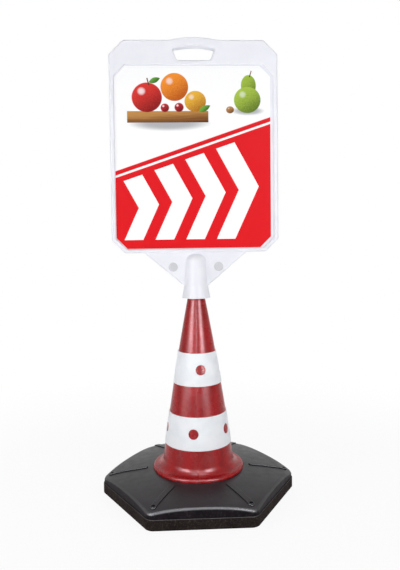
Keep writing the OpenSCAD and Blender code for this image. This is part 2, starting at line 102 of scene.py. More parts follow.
class Pen:
    """Draws a chain of edges in the XZ plane of a bmesh, one stretch at a time."""

    def __init__(self, mesh: BMesh, x: float, z: float) -> None:
        """Puts the pen down at a point.

        Args:
            mesh: The bmesh to draw in.
            x: The point, across.
            z: The point, upwards.
        """
        self.mesh = mesh
        self.first = mesh.verts.new((x, 0.0, z))
        self.tip = self.first

    def line(self, *points: tuple[float, float]) -> Pen:
        """Draws straight stretches.

        Args:
            points: Where each stretch ends, across and upwards.

        Returns:
            The pen, at the last point.
        """
        for x, z in points:
            self.tip = bmesh.ops.extrude_vert_indiv(self.mesh, verts=[self.tip])["verts"][0]
            self.tip.co = (x, 0.0, z)
        return self

    def arc(self, x: float, z: float, angle: float, steps: int) -> Pen:
        """Draws an arc about a centre.

        Args:
            x: The centre, across.
            z: The centre, upwards.
            angle: Turn in radians, anticlockwise as seen from the front.
            steps: Number of straight steps.

        Returns:
            The pen, at the end of the arc.
        """
        made = bmesh.ops.spin(
            self.mesh, geom=[self.tip], cent=(x, 0.0, z), axis=(0, -1, 0), angle=angle, steps=steps
        )
        self.tip = made["geom_last"][0]
        return self

    def arch(self, half: float, z: float, rise: float, steps: int) -> Pen:
        """Draws an arch over the axis, from its right end at a height to its left end."""
        radius = arch_radius(half, rise)
        return self.arc(0.0, z + rise - radius, 2 * math.asin(half / radius), steps)

    def join(self, other: BMVert) -> None:
        """Draws the closing stretch to a point that is there already."""
        self.mesh.edges.new((self.tip, other))

    def face(self) -> BMFace:
        """Closes the chain and fills it.

        Returns:
            The flat face, which looks towards -Y.
        """
        self.join(self.first)
        made = bmesh.ops.contextual_create(self.mesh, geom=self.mesh.edges[:])["faces"][0]
        made.normal_update()
        if made.normal.y > 0:
            made.normal_flip()
        return made


def corners_of(geometry: Iterable[object]) -> list[BMVert]:
    """The vertices among mixed geometry."""
    return [item for item in geometry if isinstance(item, BMVert)]


def whole(mesh: BMesh) -> list[BMVert | BMEdge | BMFace]:
    """All that a bmesh holds."""
    return mesh.verts[:] + mesh.edges[:] + mesh.faces[:]


def turned(angle: float, axis: str = "Z") -> Matrix:
    """The turn about an axis through the origin."""
    return Matrix.Rotation(angle, MATRIX_SIZE, axis)


def move(mesh: BMesh, matrix: Matrix) -> None:
    """Moves or turns all that a bmesh holds."""
    bmesh.ops.transform(mesh, matrix=matrix, verts=mesh.verts[:])


def shift(mesh: BMesh, way: Iterable[float]) -> None:
    """Moves all that a bmesh holds along a way."""
    bmesh.ops.translate(mesh, verts=mesh.verts[:], vec=Vector(way))


def inset(mesh: BMesh, face: BMFace, thickness: float, depth: float = 0.0) -> None:
    """Draws the rim of a face in and moves the face out along its normal.

    Args:
        mesh: The bmesh that holds the face.
        face: The face.
        thickness: How far the rim is drawn in.
        depth: How far the face is moved out.
    """
    bmesh.ops.inset_region(
        mesh, faces=[face], thickness=thickness, depth=depth, use_even_offset=True, use_boundary=True
    )


def round_corners(
    mesh: BMesh, corners: Iterable[BMVert], radius: float, segments: int = CORNER_STEPS
) -> None:
    """Rounds corners of a flat outline or of a chain of edges.

    Args:
        mesh: The bmesh that holds the corners.
        corners: Vertices with two edges each.
        radius: Radius of the round.
        segments: Number of steps of the round.
    """
    for corner in list(corners):
        reach = radius * math.tan(corner.calc_edge_angle() / 2)
        bmesh.ops.bevel(
            mesh, geom=[corner], offset=reach, affect="VERTICES", segments=segments, profile=0.5, material=-1
        )


def sharp_corners(mesh: BMesh, least: float, most: float) -> list[BMVert]:
    """Corners of a flat outline whose turn lies between two angles in degrees."""
    return [v for v in mesh.verts if math.radians(least) < v.calc_edge_angle() < math.radians(most)]


def thicken(mesh: BMesh, face: BMFace, reach: Iterable[float]) -> BMFace:
    """Drags a face to make a prism, and leaves the first face as its other end.

    Args:
        mesh: The bmesh that holds the face.
        face: The face.
        reach: How far it is dragged.

    Returns:
        The dragged face.
    """
    made = bmesh.ops.extrude_face_region(mesh, geom=[face])["geom"]
    bmesh.ops.translate(mesh, verts=corners_of(made), vec=Vector(reach))
    mesh.normal_update()
    return next(item for item in made if isinstance(item, BMFace))


def roll_edge(
    mesh: BMesh, face: BMFace, radius: float, rim: Rim = Rim.ROUND, steps: int = ROLL_STEPS
) -> None:
    """Rounds the rim of a flat end face, which moves out along its normal.

    Args:
        mesh: The bmesh that holds the face.
        face: The end face.
        radius: Radius of the round.
        rim: Whether the rim draws in or spreads out.
        steps: Number of steps of the round.
    """
    for step in range(steps):
        start = QUARTER * step / steps
        end = QUARTER * (step + 1) / steps
        drawn = rim.value * radius * (math.cos(start) - math.cos(end))
        inset(mesh, face, drawn, radius * (math.sin(end) - math.sin(start)))


def clean(mesh: BMesh) -> None:
    """Merges what lies in one place and turns all faces outwards."""
    bmesh.ops.remove_doubles(mesh, verts=mesh.verts[:], dist=WELD)
    bmesh.ops.recalc_face_normals(mesh, faces=mesh.faces[:])


def turn_profile(mesh: BMesh, steps: int = TURN_STEPS) -> None:
    """Turns a profile in the XZ plane once about the Z axis.

    Args:
        mesh: The bmesh that holds the profile.
        steps: Number of steps of the turn.
    """
    bmesh.ops.spin(
        mesh, geom=whole(mesh), cent=(0, 0, 0), axis=(0, 0, 1), angle=FULL, steps=steps, use_merge=True
    )
    clean(mesh)


def copy_round(mesh: BMesh, count: int) -> None:
    """Repeats all that a bmesh holds about the Z axis.

    Args:
        mesh: The bmesh.
        count: Number of copies, with the first.
    """
    bmesh.ops.spin(
        mesh,
        geom=whole(mesh),
        cent=(0, 0, 0),
        axis=(0, 0, 1),
        angle=FULL * (count - 1) / count,
        steps=count - 1,
        use_duplicate=True,
    )


def drill(mesh: BMesh, radius: float, depth: float, place: Matrix) -> None:
    """Draws a plain round tool for a hole.

    Args:
        mesh: The bmesh to draw in.
        radius: Radius of the hole.
        depth: Length of the tool.
        place: Where its middle lies, and its turn.
    """
    bmesh.ops.create_cone(
        mesh, cap_ends=True, segments=BORE_STEPS, radius1=radius, radius2=radius, depth=depth, matrix=place
    )


def as_object(mesh: BMesh, name: str) -> Object:
    """Makes an object of a bmesh, which is used up.

    Args:
        mesh: The bmesh.
        name: Name of the object.

    Returns:
        The object, at the origin.
    """
    data = bpy.data.meshes.new(name)
    mesh.to_mesh(data)
    mesh.free()
    made = bpy.data.objects.new(name, data)
    bpy.context.scene.collection.objects.link(made)
    return made


def settle(piece: Object) -> None:
    """Works a piece's modifiers into its mesh.

    Args:
        piece: The piece.
    """
    graph = bpy.context.evaluated_depsgraph_get()
    finished = bpy.data.meshes.new_from_object(piece.evaluated_get(graph))
    rough = piece.data
    piece.modifiers.clear()
    piece.data = finished
    bpy.data.meshes.remove(rough)


def combine(piece: Object, tool: BMesh, joining: Joining) -> None:
    """Adds a solid to a piece or cuts it away, and uses the tool up.

    Args:
        piece: The piece.
        tool: The solid.
        joining: What the tool does.
    """
    helper = as_object(tool, "tool")
    change = piece.modifiers.new("joining", "BOOLEAN")
    change.operation = joining.value
    change.solver = "MANIFOLD"
    change.object = helper
    settle(piece)
    bpy.data.meshes.remove(helper.data)


def linear(code: str) -> tuple[float, float, float, float]:
    """Turns a colour as it is seen, such as #A3161C, into the renderer's red, green, blue and alpha."""
    parts = [part / BYTE_MOST for part in bytes.fromhex(code.lstrip("#"))]
    return (*Color(parts).from_srgb_to_scene_linear(), 1.0)


def mix_shaders(tree: NodeTree, share: NodeSocket, under: NodeSocket, over: NodeSocket) -> NodeSocket:
    """Mixes two shaders.

    Args:
        tree: The node tree to add to.
        share: How much of the second shader shows.
        under: The first shader.
        over: The second shader.

    Returns:
        The mixed shader.
    """
    node = tree.nodes.new("ShaderNodeMixShader")
    for socket, source in zip(node.inputs, (share, under, over)):
        tree.links.new(source, socket)
    return node.outputs[0]


Feed = NodeSocket | float | int | tuple


class Cloud(NamedTuple):
    """Size of a noise, and how much finer it goes."""

    size: float
    detail: float


class Run(NamedTuple):
    """Where something starts and where it ends."""

    low: float
    high: float


class Graph:
    """Short hand for wiring the nodes of one material."""

    def __init__(self, name: str) -> None:
        """Starts a material with one shader.

        Args:
            name: Name of the material.
        """
        self.material = bpy.data.materials.new(name)
        self.material.use_nodes = True
        self.tree = self.material.node_tree
        self.shader = self.tree.nodes["Principled BSDF"]

    def add(self, kind: str, **settings: object) -> Node:
        """Adds a node.

        Args:
            kind: The node's type, without its first words.
            settings: Properties of the node.

        Returns:
            The node.
        """
        node = self.tree.nodes.new("ShaderNode" + kind)
        for key, value in settings.items():
            setattr(node, key, value)
        return node

    def feed(self, socket: NodeSocket, value: Feed) -> None:
        """Links a socket to another, or sets its value.

        Args:
            socket: The socket that is fed.
            value: The other socket, or a value.
        """
        if isinstance(value, NodeSocket):
            self.tree.links.new(value, socket)
        else:
            socket.default_value = value

    def set(self, **values: Feed) -> None:
        """Feeds sockets of the shader, each under its name with a low line for a space."""
        for name, value in values.items():
            self.feed(self.shader.inputs[name.replace("_", " ")], value)

    def math(self, operation: str, *values: Feed) -> NodeSocket:
        """Works out a number.

        Args:
            operation: Name of the sum.
            values: What goes in.

        Returns:
            The socket of the result.
        """
        node = self.add("Math", operation=operation)
        for socket, value in zip(node.inputs, values):
            self.feed(socket, value)
        return node.outputs[0]

    def minus(self, value: Feed, less: Feed) -> NodeSocket:
        """A number less another."""
        return self.math("SUBTRACT", value, less)

    def times(self, value: Feed, share: Feed) -> NodeSocket:
        """A number times another."""
        return self.math("MULTIPLY", value, share)

    def scaled(self, value: Feed, share: Feed, rest: Feed) -> NodeSocket:
        """A number times another, with a third added to it."""
        return self.math("MULTIPLY_ADD", value, share, rest)

    def squares(self, x: Feed, y: Feed) -> NodeSocket:
        """The squares of two numbers, added up."""
        return self.scaled(x, x, self.times(y, y))

    def length(self, x: Feed, y: Feed) -> NodeSocket:
        """Length of a flat vector."""
        return self.math("SQRT", self.squares(x, y))

    def off_plane(self, x: Feed, y: Feed, angle: float) -> NodeSocket:
        """Distance of a point from the upright plane through the axis whose normal has an angle from X."""
        along = self.times(x, math.cos(angle))
        return self.math("ABSOLUTE", self.scaled(y, math.sin(angle), along))

    def fade(self, value: Feed, low: float, high: float) -> NodeSocket:
        """Runs smoothly from 0 to 1 while a value goes from low to high.

        Args:
            value: The value.
            low: Where the run starts.
            high: Where it ends.

        Returns:
            The socket of the result.
        """
        node = self.add("MapRange", interpolation_type="SMOOTHSTEP")
        self.feed(node.inputs["Value"], value)
        node.inputs["From Min"].default_value = low
        node.inputs["From Max"].default_value = high
        return node.outputs["Result"]

    def blend(self, share: Feed, under: Feed, over: Feed) -> NodeSocket:
        """Lays one colour over another.

        Args:
            share: How much of the upper colour shows.
            under: The lower colour.
            over: The upper colour.

        Returns:
            The socket of the result.
        """
        node = self.add("Mix", data_type="RGBA")
        sockets = {socket.identifier: socket for socket in node.inputs}
        self.feed(sockets["Factor_Float"], share)
        self.feed(sockets["A_Color"], under)
        self.feed(sockets["B_Color"], over)
        return next(socket for socket in node.outputs if socket.identifier == "Result_Color")

    def place(self) -> NodeSocket:
        """The point on the piece, in the object's own frame."""
        return self.add("TexCoord").outputs["Object"]

    def parts(self, vector: Feed) -> list[NodeSocket]:
        """The three parts of a vector.

        Args:
            vector: The vector.

        Returns:
            Its parts along X, Y and Z.
        """
        node = self.add("SeparateXYZ")
        self.feed(node.inputs[0], vector)
        return list(node.outputs)

    def stretched(self, vector: NodeSocket, share: tuple[float, float, float]) -> NodeSocket:
        """Scales a vector along each axis.

        Args:
            vector: The vector.
            share: Scale along X, Y and Z.

        Returns:
            The scaled vector.
        """
        node = self.add("Mapping")
        self.feed(node.inputs["Vector"], vector)
        node.inputs["Scale"].default_value = share
        return node.outputs["Vector"]

    def noise(self, vector: NodeSocket, size: float, detail: float) -> NodeSocket:
        """Cloudy noise from 0 to 1.

        Args:
            vector: Where it is read.
            size: Size of one cloud.
            detail: How much finer it goes.

        Returns:
            The socket of the value.
        """
        node = self.add("TexNoise")
        self.feed(node.inputs["Vector"], vector)
        node.inputs["Scale"].default_value = 1 / size
        node.inputs["Detail"].default_value = detail
        return node.outputs[0]

    def cells(self, vector: NodeSocket, size: float) -> NodeSocket:
        """Distance to the nearest of many scattered points.

        Args:
            vector: Where it is read.
            size: Distance between the points.

        Returns:
            The socket of the value.
        """
        node = self.add("TexVoronoi")
        self.feed(node.inputs["Vector"], vector)
        node.inputs["Scale"].default_value = 1 / size
        return node.outputs["Distance"]

    def bump(self, height: NodeSocket, depth: float, under: NodeSocket | None = None) -> NodeSocket:
        """Turns a height into a shading normal.

        Args:
            height: The height, from 0 to 1.
            depth: How deep a full height is.
            under: A normal that lies below.

        Returns:
            The socket of the normal.
        """
        node = self.add("Bump")
        self.feed(node.inputs["Height"], height)
        node.inputs["Distance"].default_value = depth
        if under is not None:
            self.feed(node.inputs["Normal"], under)
        return node.outputs["Normal"]


@dataclass(frozen=True)
class Finish:
    """Finish of a surface. Each kind wires its own nodes."""

    name: str

    def material(self) -> Material:
        """The finish as a material, made once."""
        return bpy.data.materials.get(self.name) or self.wire(Graph(self.name))

    def wire(self, graph: Graph) -> Material:
        """Wires the nodes of the finish."""
        raise NotImplementedError(self.name)


@dataclass(frozen=True)
class MouldedPlastic(Finish):
    """Moulded plastic with a fine grain, cloudy tone, flecks and scuffs."""

    colour: str
    shade: str
    fleck: str
    roughness: float
    specular: float
    grain: float = 0.0012
    grain_detail: float = 3.0
    grain_depth: float = 0.00004
    clouds: Cloud = Cloud(0.05, 4.0)
    cloud_run: Run = Run(0.3, 0.7)
    fleck_size: float = 0.0034
    fleck_run: Run = Run(0.3, 0.12)
    fleck_share: float = 0.35
    scratches: Cloud = Cloud(0.004, 5.0)
    scratch_draw: tuple[float, float, float] = (1.0, 1.0, 0.5)
    scratch_run: Run = Run(0.5, 0.75)
    scuff: str = "#8A8688"
    scuff_share: float = 0.3
    scuff_dull: float = 0.15
    patches: Cloud = Cloud(0.018, 3.0)
    patch_run: Run = Run(0.25, 0.75)
    patch_dull: float = 0.1
    wear_least: float = 0.15

    def wear(self, graph: Graph, place: NodeSocket) -> Feed:
        """Share of wear, from 0 to 1. A plain piece is rubbed evenly."""
        return self.wear_least

    def relief(self, graph: Graph, place: NodeSocket, normal: NodeSocket) -> NodeSocket:
        """Adds lines of the mould to the grain. A plain piece has none."""
        return normal

    def shine(self, graph: Graph) -> Feed:
        """How strongly the piece reflects. A plain piece does so evenly."""
        return self.specular

    def cloud(self, graph: Graph, place: NodeSocket) -> NodeSocket:
        """Where the tone changes. A plain piece is cloudy."""
        return graph.noise(place, *self.clouds)

    def wire(self, graph: Graph) -> Material:
        """Wires cloudy tone, flecks, scuffs, uneven gloss and grain.

        Args:
            graph: The material's graph.

        Returns:
            The material.
        """
        place = graph.place()
        cloud = graph.fade(self.cloud(graph, place), *self.cloud_run)
        tone = graph.blend(cloud, linear(self.colour), linear(self.shade))
        flecks = graph.fade(graph.cells(place, self.fleck_size), *self.fleck_run)
        speckled = graph.blend(graph.times(flecks, self.fleck_share), tone, linear(self.fleck))
        scratches = graph.noise(graph.stretched(place, self.scratch_draw), *self.scratches)
        rubbed = graph.times(graph.fade(scratches, *self.scratch_run), self.wear(graph, place))
        patches = graph.fade(graph.noise(place, *self.patches), *self.patch_run)
        gloss = graph.scaled(patches, self.patch_dull, self.roughness - self.patch_dull / 2)
        grain = graph.bump(graph.noise(place, self.grain, self.grain_detail), self.grain_depth)
        graph.set(
            Base_Color=graph.blend(graph.times(rubbed, self.scuff_share), speckled, linear(self.scuff)),
            Roughness=graph.scaled(rubbed, self.scuff_dull, gloss),
            Specular_IOR_Level=self.shine(graph),
            Normal=self.relief(graph, place, grain),
        )
        return graph.material


@dataclass(frozen=True)
class BasePlastic(MouldedPlastic):
    """Plastic of the base, rubbed along the rim of its hexagon."""

    rim_run: Run = Run(0.2, 0.21)
    rim_wear: float = 0.85
    polish: float = 0.15
    edge_opens: Run = Run(0.25, 0.5)
    edge_closes: Run = Run(0.97, 0.85)
    top_opens: Run = Run(-0.1, 0.4)

    def wear(self, graph: Graph, place: NodeSocket) -> Feed:
        """Share of wear, which is most at the sides of the hexagon.

        Args:
            graph: The material's graph.
            place: The point on the piece.

        Returns:
            The share, from 0 to 1.
        """
        x, y, _ = graph.parts(place)
        across = 0.0
        for side in range(HEX_SIDES // 2):
            reach = graph.off_plane(x, y, HEX_HALF + side * FULL / HEX_SIDES)
            across = graph.math("MAXIMUM", across, reach)
        return graph.scaled(graph.fade(across, *self.rim_run), self.rim_wear, self.wear_least)

    def shine(self, graph: Graph) -> Feed:
        """Strength of reflections: rounded edges are polished by handling, and upright walls stay dull.

        Args:
            graph: The material's graph.

        Returns:
            The strength.
        """
        facing = graph.add("TexCoord").outputs["Normal"]
        up = graph.parts(facing)[2]
        edge = graph.times(graph.fade(up, *self.edge_opens), graph.fade(up, *self.edge_closes))
        top = graph.times(graph.fade(up, *self.top_opens), self.specular)
        return graph.scaled(edge, self.polish, top)


@dataclass(frozen=True)
class ConePlastic(MouldedPlastic):
    """Plastic of the cone, with streaks and the two fine upright lines of its mould."""

    seam_turn: float = math.radians(-3.0)
    seam_half: float = 0.0012
    seam_depth: float = 0.0005
    foot_run: Run = Run(0.1, 0.115)
    foot_wear: float = 0.7
    streaks: Cloud = Cloud(0.022, 2.0)
    streak_draw: tuple[float, float, float] = (1.0, 1.0, 0.16)

    def cloud(self, graph: Graph, place: NodeSocket) -> NodeSocket:
        """Where the tone changes, in upright streaks."""
        return graph.noise(graph.stretched(place, self.streak_draw), *self.streaks)

    def wear(self, graph: Graph, place: NodeSocket) -> Feed:
        """Share of wear, from 0 to 1, which is most at the foot."""
        x, y, _ = graph.parts(place)
        return graph.scaled(graph.fade(graph.length(x, y), *self.foot_run), self.foot_wear, self.wear_least)

    def relief(self, graph: Graph, place: NodeSocket, normal: NodeSocket) -> NodeSocket:
        """Adds the lines of the mould, which lie opposite each other.

        Args:
            graph: The material's graph.
            place: The point on the piece.
            normal: The normal of the grain.

        Returns:
            The normal with the lines.
        """
        x, y, _ = graph.parts(place)
        off = graph.off_plane(x, y, self.seam_turn)
        return graph.bump(graph.fade(off, self.seam_half, 0.0), self.seam_depth, normal)


@dataclass(frozen=True)
class Sheeting(Finish):
    """White beaded sheeting of the sleeves."""

    colour: str
    shade: str
    bead: float = 0.0016
    bead_run: Run = Run(0.45, 0.8)
    bead_share: float = 0.3
    bead_depth: float = 0.00003
    clouds: Cloud = Cloud(0.03, 5.0)
    cloud_run: Run = Run(0.35, 0.75)
    cloud_dull: float = 0.12
    roughness: float = 0.42
    specular: float = 0.05

    def wire(self, graph: Graph) -> Material:
        """Wires a cloudy white with fine beads.

        Args:
            graph: The material's graph.

        Returns:
            The material.
        """
        place = graph.place()
        beads = graph.cells(place, self.bead)
        cloud = graph.fade(graph.noise(place, *self.clouds), *self.cloud_run)
        tone = graph.blend(cloud, linear(self.colour), linear(self.shade))
        spots = graph.times(graph.fade(beads, *self.bead_run), self.bead_share)
        graph.set(
            Base_Color=graph.blend(spots, tone, linear(self.shade)),
            Roughness=graph.scaled(cloud, self.cloud_dull, self.roughness),
            Specular_IOR_Level=self.specular,
            Normal=graph.bump(beads, self.bead_depth),
        )
        return graph.material


@dataclass(frozen=True)
class Concrete(Finish):
    """Cast concrete of the ballast."""

    colour: str
    shade: str
    pore: str = "#4A4845"
    grit: Cloud = Cloud(0.003, 6.0)
    grit_dull: float = 0.2
    blotches: Cloud = Cloud(0.04, 5.0)
    pore_size: float = 0.011
    pore_run: Run = Run(0.12, 0.05)
    roughness: float = 0.75
    depth: float = 0.0006

    def wire(self, graph: Graph) -> Material:
        """Wires blotches, grit and pores.

        Args:
            graph: The material's graph.

        Returns:
            The material.
        """
        place = graph.place()
        grit = graph.noise(place, *self.grit)
        tone = graph.blend(graph.noise(place, *self.blotches), linear(self.colour), linear(self.shade))
        pores = graph.fade(graph.cells(place, self.pore_size), *self.pore_run)
        graph.set(
            Base_Color=graph.blend(pores, tone, linear(self.pore)),
            Roughness=graph.scaled(grit, self.grit_dull, self.roughness),
            Normal=graph.bump(graph.minus(grit, pores), self.depth),
        )
        return graph.material


@dataclass(frozen=True)
class Steel(Finish):
    """Zinc-plated steel of the screws."""

    colour: str
    shade: str
    clouds: Cloud = Cloud(0.003, 4.0)
    cloud_dull: float = 0.25
    roughness: float = 0.25
    scratches: Cloud = Cloud(0.0012, 3.0)
    scratch_draw: tuple[float, float, float] = (1.0, 8.0, 1.0)
    scratch_depth: float = 0.00003

    def wire(self, graph: Graph) -> Material:
        """Wires a cloudy metal with fine scratches.

        Args:
            graph: The material's graph.

        Returns:
            The material.
        """
        place = graph.place()
        cloud = graph.noise(place, *self.clouds)
        scratches = graph.noise(graph.stretched(place, self.scratch_draw), *self.scratches)
        graph.set(
            Base_Color=graph.blend(cloud, linear(self.colour), linear(self.shade)),
            Metallic=1.0,
            Roughness=graph.scaled(cloud, self.cloud_dull, self.roughness),
            Normal=graph.bump(scratches, self.scratch_depth),
        )
        return graph.material


class Shape(Enum):
    """Outline of a printed motif."""

    ROUND = "round"
    BAR = "bar"
    LEAF = "leaf"
    SHADE = "shade"


@dataclass(frozen=True)
class Motif:
    """One shape of the printed picture, placed from the lower left corner of the sheet."""

    shape: Shape
    centre: tuple[float, float]
    half: tuple[float, float]
    light: str
    dark: str
    turn: float = 0.0
    shine: float = 0.0
    grain: float = 1.0


@dataclass(frozen=True)
class PosterPrint(Finish):
    """Printed sheet: fruit on a white field, above a red field with a slanted top and growing arrowheads."""

    paper: str = "#FDFDFD"
    ink: str = "#E0141C"
    field_left: float = 0.192
    field_rise: float = 0.34
    rule_drop: float = 0.011
    rule_width: float = 0.0055
    arrow_n: int = 4
    arrow_left: float = 0.056
    arrow_pitch: float = 0.083
    arrow_stroke: float = 0.05
    arrow_lean: float = 0.5
    arrow_low: float = 0.022
    arrow_drop: float = 0.031
    soft: float = 0.0008
    wood: tuple[str, str] = ("#C08A4B", "#7A4A20")
    wood_front: tuple[str, str] = ("#8A5A2A", "#5C3413")
    wood_grain: float = 14.0
    stalk: tuple[str, str] = ("#6B4523", "#3C2410")
    leaf_dark: str = "#2C5A1B"
    shadow: str = "#8E9094"
    shadow_share: float = 0.75
    shadow_run: Run = Run(1.0, 0.1)
    lit_across: float = -0.35
    lit_up: float = 0.55
    lit_run: Run = Run(0.55, -0.85)
    spots: Cloud = Cloud(0.0035, 4.0)
    spot_share: float = 0.9
    glint_left: float = 0.36
    glint_up: float = 0.42
    glint_run: Run = Run(0.1, 0.0)
    dot: str = "#6A5A5A"
    dots: Cloud = Cloud(0.0016, 2.0)
    dot_share: float = 0.04
    waves: Cloud = Cloud(0.09, 2.0)
    wave_dull: float = 0.12
    wave_depth: float = 0.0008
    roughness: float = 0.4
    specular: float = 0.02

    def picture(self) -> list[Motif]:
        """Lists the motifs of the picture.

        Returns:
            The motifs, from the back to the front.
        """
        cast = (self.shadow, self.shadow)
        grain = self.wood_grain
        return [
            Motif(Shape.SHADE, (0.134, 0.308), (0.112, 0.02), *cast),
            Motif(Shape.SHADE, (0.329, 0.338), (0.046, 0.012), *cast),
            Motif(Shape.BAR, (0.131, 0.328), (0.1, 0.0105), *self.wood, grain=grain),
            Motif(Shape.BAR, (0.131, 0.3145), (0.1, 0.004), *self.wood_front, grain=grain),
            Motif(Shape.ROUND, (0.148, 0.397), (0.034, 0.034), "#F2902B", "#B4500F", shine=0.5),
            Motif(Shape.ROUND, (0.08, 0.372), (0.037, 0.036), "#D8332B", "#7E0F12", shine=0.7),
            Motif(Shape.BAR, (0.083, 0.4105), (0.0014, 0.009), *self.stalk, turn=0.25),
            Motif(Shape.LEAF, (0.099, 0.4135), (0.015, 0.0065), "#5E9B36", self.leaf_dark, turn=0.35),
            Motif(Shape.ROUND, (0.199, 0.362), (0.0265, 0.0255), "#E9B23A", "#A8661A", shine=0.4),
            Motif(Shape.ROUND, (0.124, 0.3465), (0.0105, 0.0103), "#C22730", "#5E0A10", shine=0.8),
            Motif(Shape.ROUND, (0.159, 0.3475), (0.0112, 0.011), "#B9212B", "#5A0910", shine=0.8),
            Motif(Shape.LEAF, (0.2215, 0.344), (0.0165, 0.0068), "#6BA83C", self.leaf_dark, turn=0.5),
            Motif(Shape.ROUND, (0.331, 0.4), (0.0185, 0.026), "#9CB83F", "#5E7A20"),
            Motif(Shape.ROUND, (0.328, 0.365), (0.033, 0.032), "#A6C046", "#55701C", shine=0.4),
            Motif(Shape.BAR, (0.336, 0.4285), (0.0013, 0.008), *self.stalk, turn=-0.3),
            Motif(Shape.ROUND, (0.285, 0.341), (0.0098, 0.0085), "#B98450", "#6A3F1A", shine=0.3),
        ]

    def beside(self, graph: Graph, chart: NodeSocket, motif: Motif) -> tuple[NodeSocket, NodeSocket]:
        """Finds the place of a point beside a motif's centre.

        Args:
            graph: The material's graph.
            chart: The place on the sheet.
            motif: The motif.

        Returns:
            The place across and upwards, in halves of the motif.
        """
        where = graph.parts(chart)
        run, rise = (graph.minus(part, middle) for part, middle in zip(where, motif.centre))
        cos, sin = math.cos(motif.turn), math.sin(motif.turn)
        along = graph.scaled(run, cos, graph.times(rise, sin))
        up = graph.scaled(rise, cos, graph.times(run, -sin))
        return graph.math("DIVIDE", along, motif.half[0]), graph.math("DIVIDE", up, motif.half[1])

    def paint(self, graph: Graph, under: NodeSocket, chart: NodeSocket, motif: Motif) -> NodeSocket:
        """Lays one motif over the colour so far.

        Args:
            graph: The material's graph.
            under: The colour so far.
            chart: The place on the sheet.
            motif: The motif.

        Returns:
            The new colour.
        """
        across, over = self.beside(graph, chart, motif)
        if motif.shape is Shape.SHADE:
            share = graph.times(graph.fade(graph.squares(across, over), *self.shadow_run), self.shadow_share)
            return graph.blend(share, under, linear(motif.light))
        if motif.shape is Shape.BAR:
            reach = graph.math("MAXIMUM", graph.math("ABSOLUTE", across), graph.math("ABSOLUTE", over))
        elif motif.shape is Shape.LEAF:
            reach = graph.scaled(across, across, graph.math("ABSOLUTE", over))
        else:
            reach = graph.length(across, over)
        soft = self.soft / max(motif.half)
        lit = graph.scaled(over, self.lit_up, graph.times(across, self.lit_across))
        spots = graph.noise(graph.stretched(chart, (1 / motif.grain, 1.0, 1.0)), *self.spots)
        lit = graph.scaled(spots, self.spot_share, graph.minus(lit, self.spot_share / 2))
        colour = graph.blend(graph.fade(lit, *self.lit_run), linear(motif.light), linear(motif.dark))
        if motif.shine:
            off = graph.squares(graph.math("ADD", across, self.glint_left), graph.minus(over, self.glint_up))
            glint = graph.times(graph.fade(off, *self.glint_run), motif.shine)
            colour = graph.blend(glint, colour, linear(self.paper))
        return graph.blend(graph.fade(reach, 1.0 + soft, 1.0 - soft), under, colour)

    def arrowheads(self, graph: Graph, across: NodeSocket, up: NodeSocket) -> NodeSocket:
        """Mask of the row of arrowheads, which grow with the red field.

        Args:
            graph: The material's graph.
            across: The place on the sheet, across.
            up: The place on the sheet, upwards.

        Returns:
            The mask.
        """
        middle = (self.field_left - self.arrow_drop + self.arrow_low) / 2
        half = (self.field_left - self.arrow_drop - self.arrow_low) / 2
        growth = graph.times(across, self.field_rise / 2)
        off = graph.math("ABSOLUTE", graph.minus(graph.minus(up, middle), growth))
        tall = graph.math("LESS_THAN", graph.minus(off, growth), half)
        run = graph.minus(graph.scaled(off, self.arrow_lean, across), self.arrow_left)
        share = graph.math("FRACT", graph.math("DIVIDE", run, self.arrow_pitch))
        stroke = graph.math("LESS_THAN", share, self.arrow_stroke / self.arrow_pitch)
        starts = graph.math("GREATER_THAN", run, 0.0)
        ends = graph.math("LESS_THAN", run, self.arrow_n * self.arrow_pitch)
        return graph.times(stroke, graph.times(tall, graph.times(starts, ends)))

    def wire(self, graph: Graph) -> Material:
        """Wires the fields, the arrowheads, the thin line, the picture and the satin film over them.

        Args:
            graph: The material's graph.

        Returns:
            The material.
        """
        chart = graph.add("UVMap").outputs[0]
        across, up, _ = graph.parts(chart)
        place = graph.place()
        paper = linear(self.paper)
        below = graph.minus(graph.scaled(across, self.field_rise, self.field_left), up)
        colour = graph.blend(graph.fade(below, -self.soft, self.soft), paper, linear(self.ink))
        colour = graph.blend(self.arrowheads(graph, across, up), colour, paper)
        rule_end = self.rule_drop + self.rule_width
        opens = graph.fade(below, self.rule_drop - self.soft, self.rule_drop + self.soft)
        closes = graph.fade(below, rule_end + self.soft, rule_end - self.soft)
        colour = graph.blend(graph.times(opens, closes), colour, paper)
        for motif in self.picture():
            colour = self.paint(graph, colour, chart, motif)
        dots = graph.times(graph.noise(place, *self.dots), self.dot_share)
        waves = graph.noise(place, *self.waves)
        graph.set(
            Base_Color=graph.blend(dots, colour, linear(self.dot)),
            Roughness=graph.scaled(waves, self.wave_dull, self.roughness),
            Specular_IOR_Level=self.specular,
            Normal=graph.bump(waves, self.wave_depth),
        )
        return graph.material


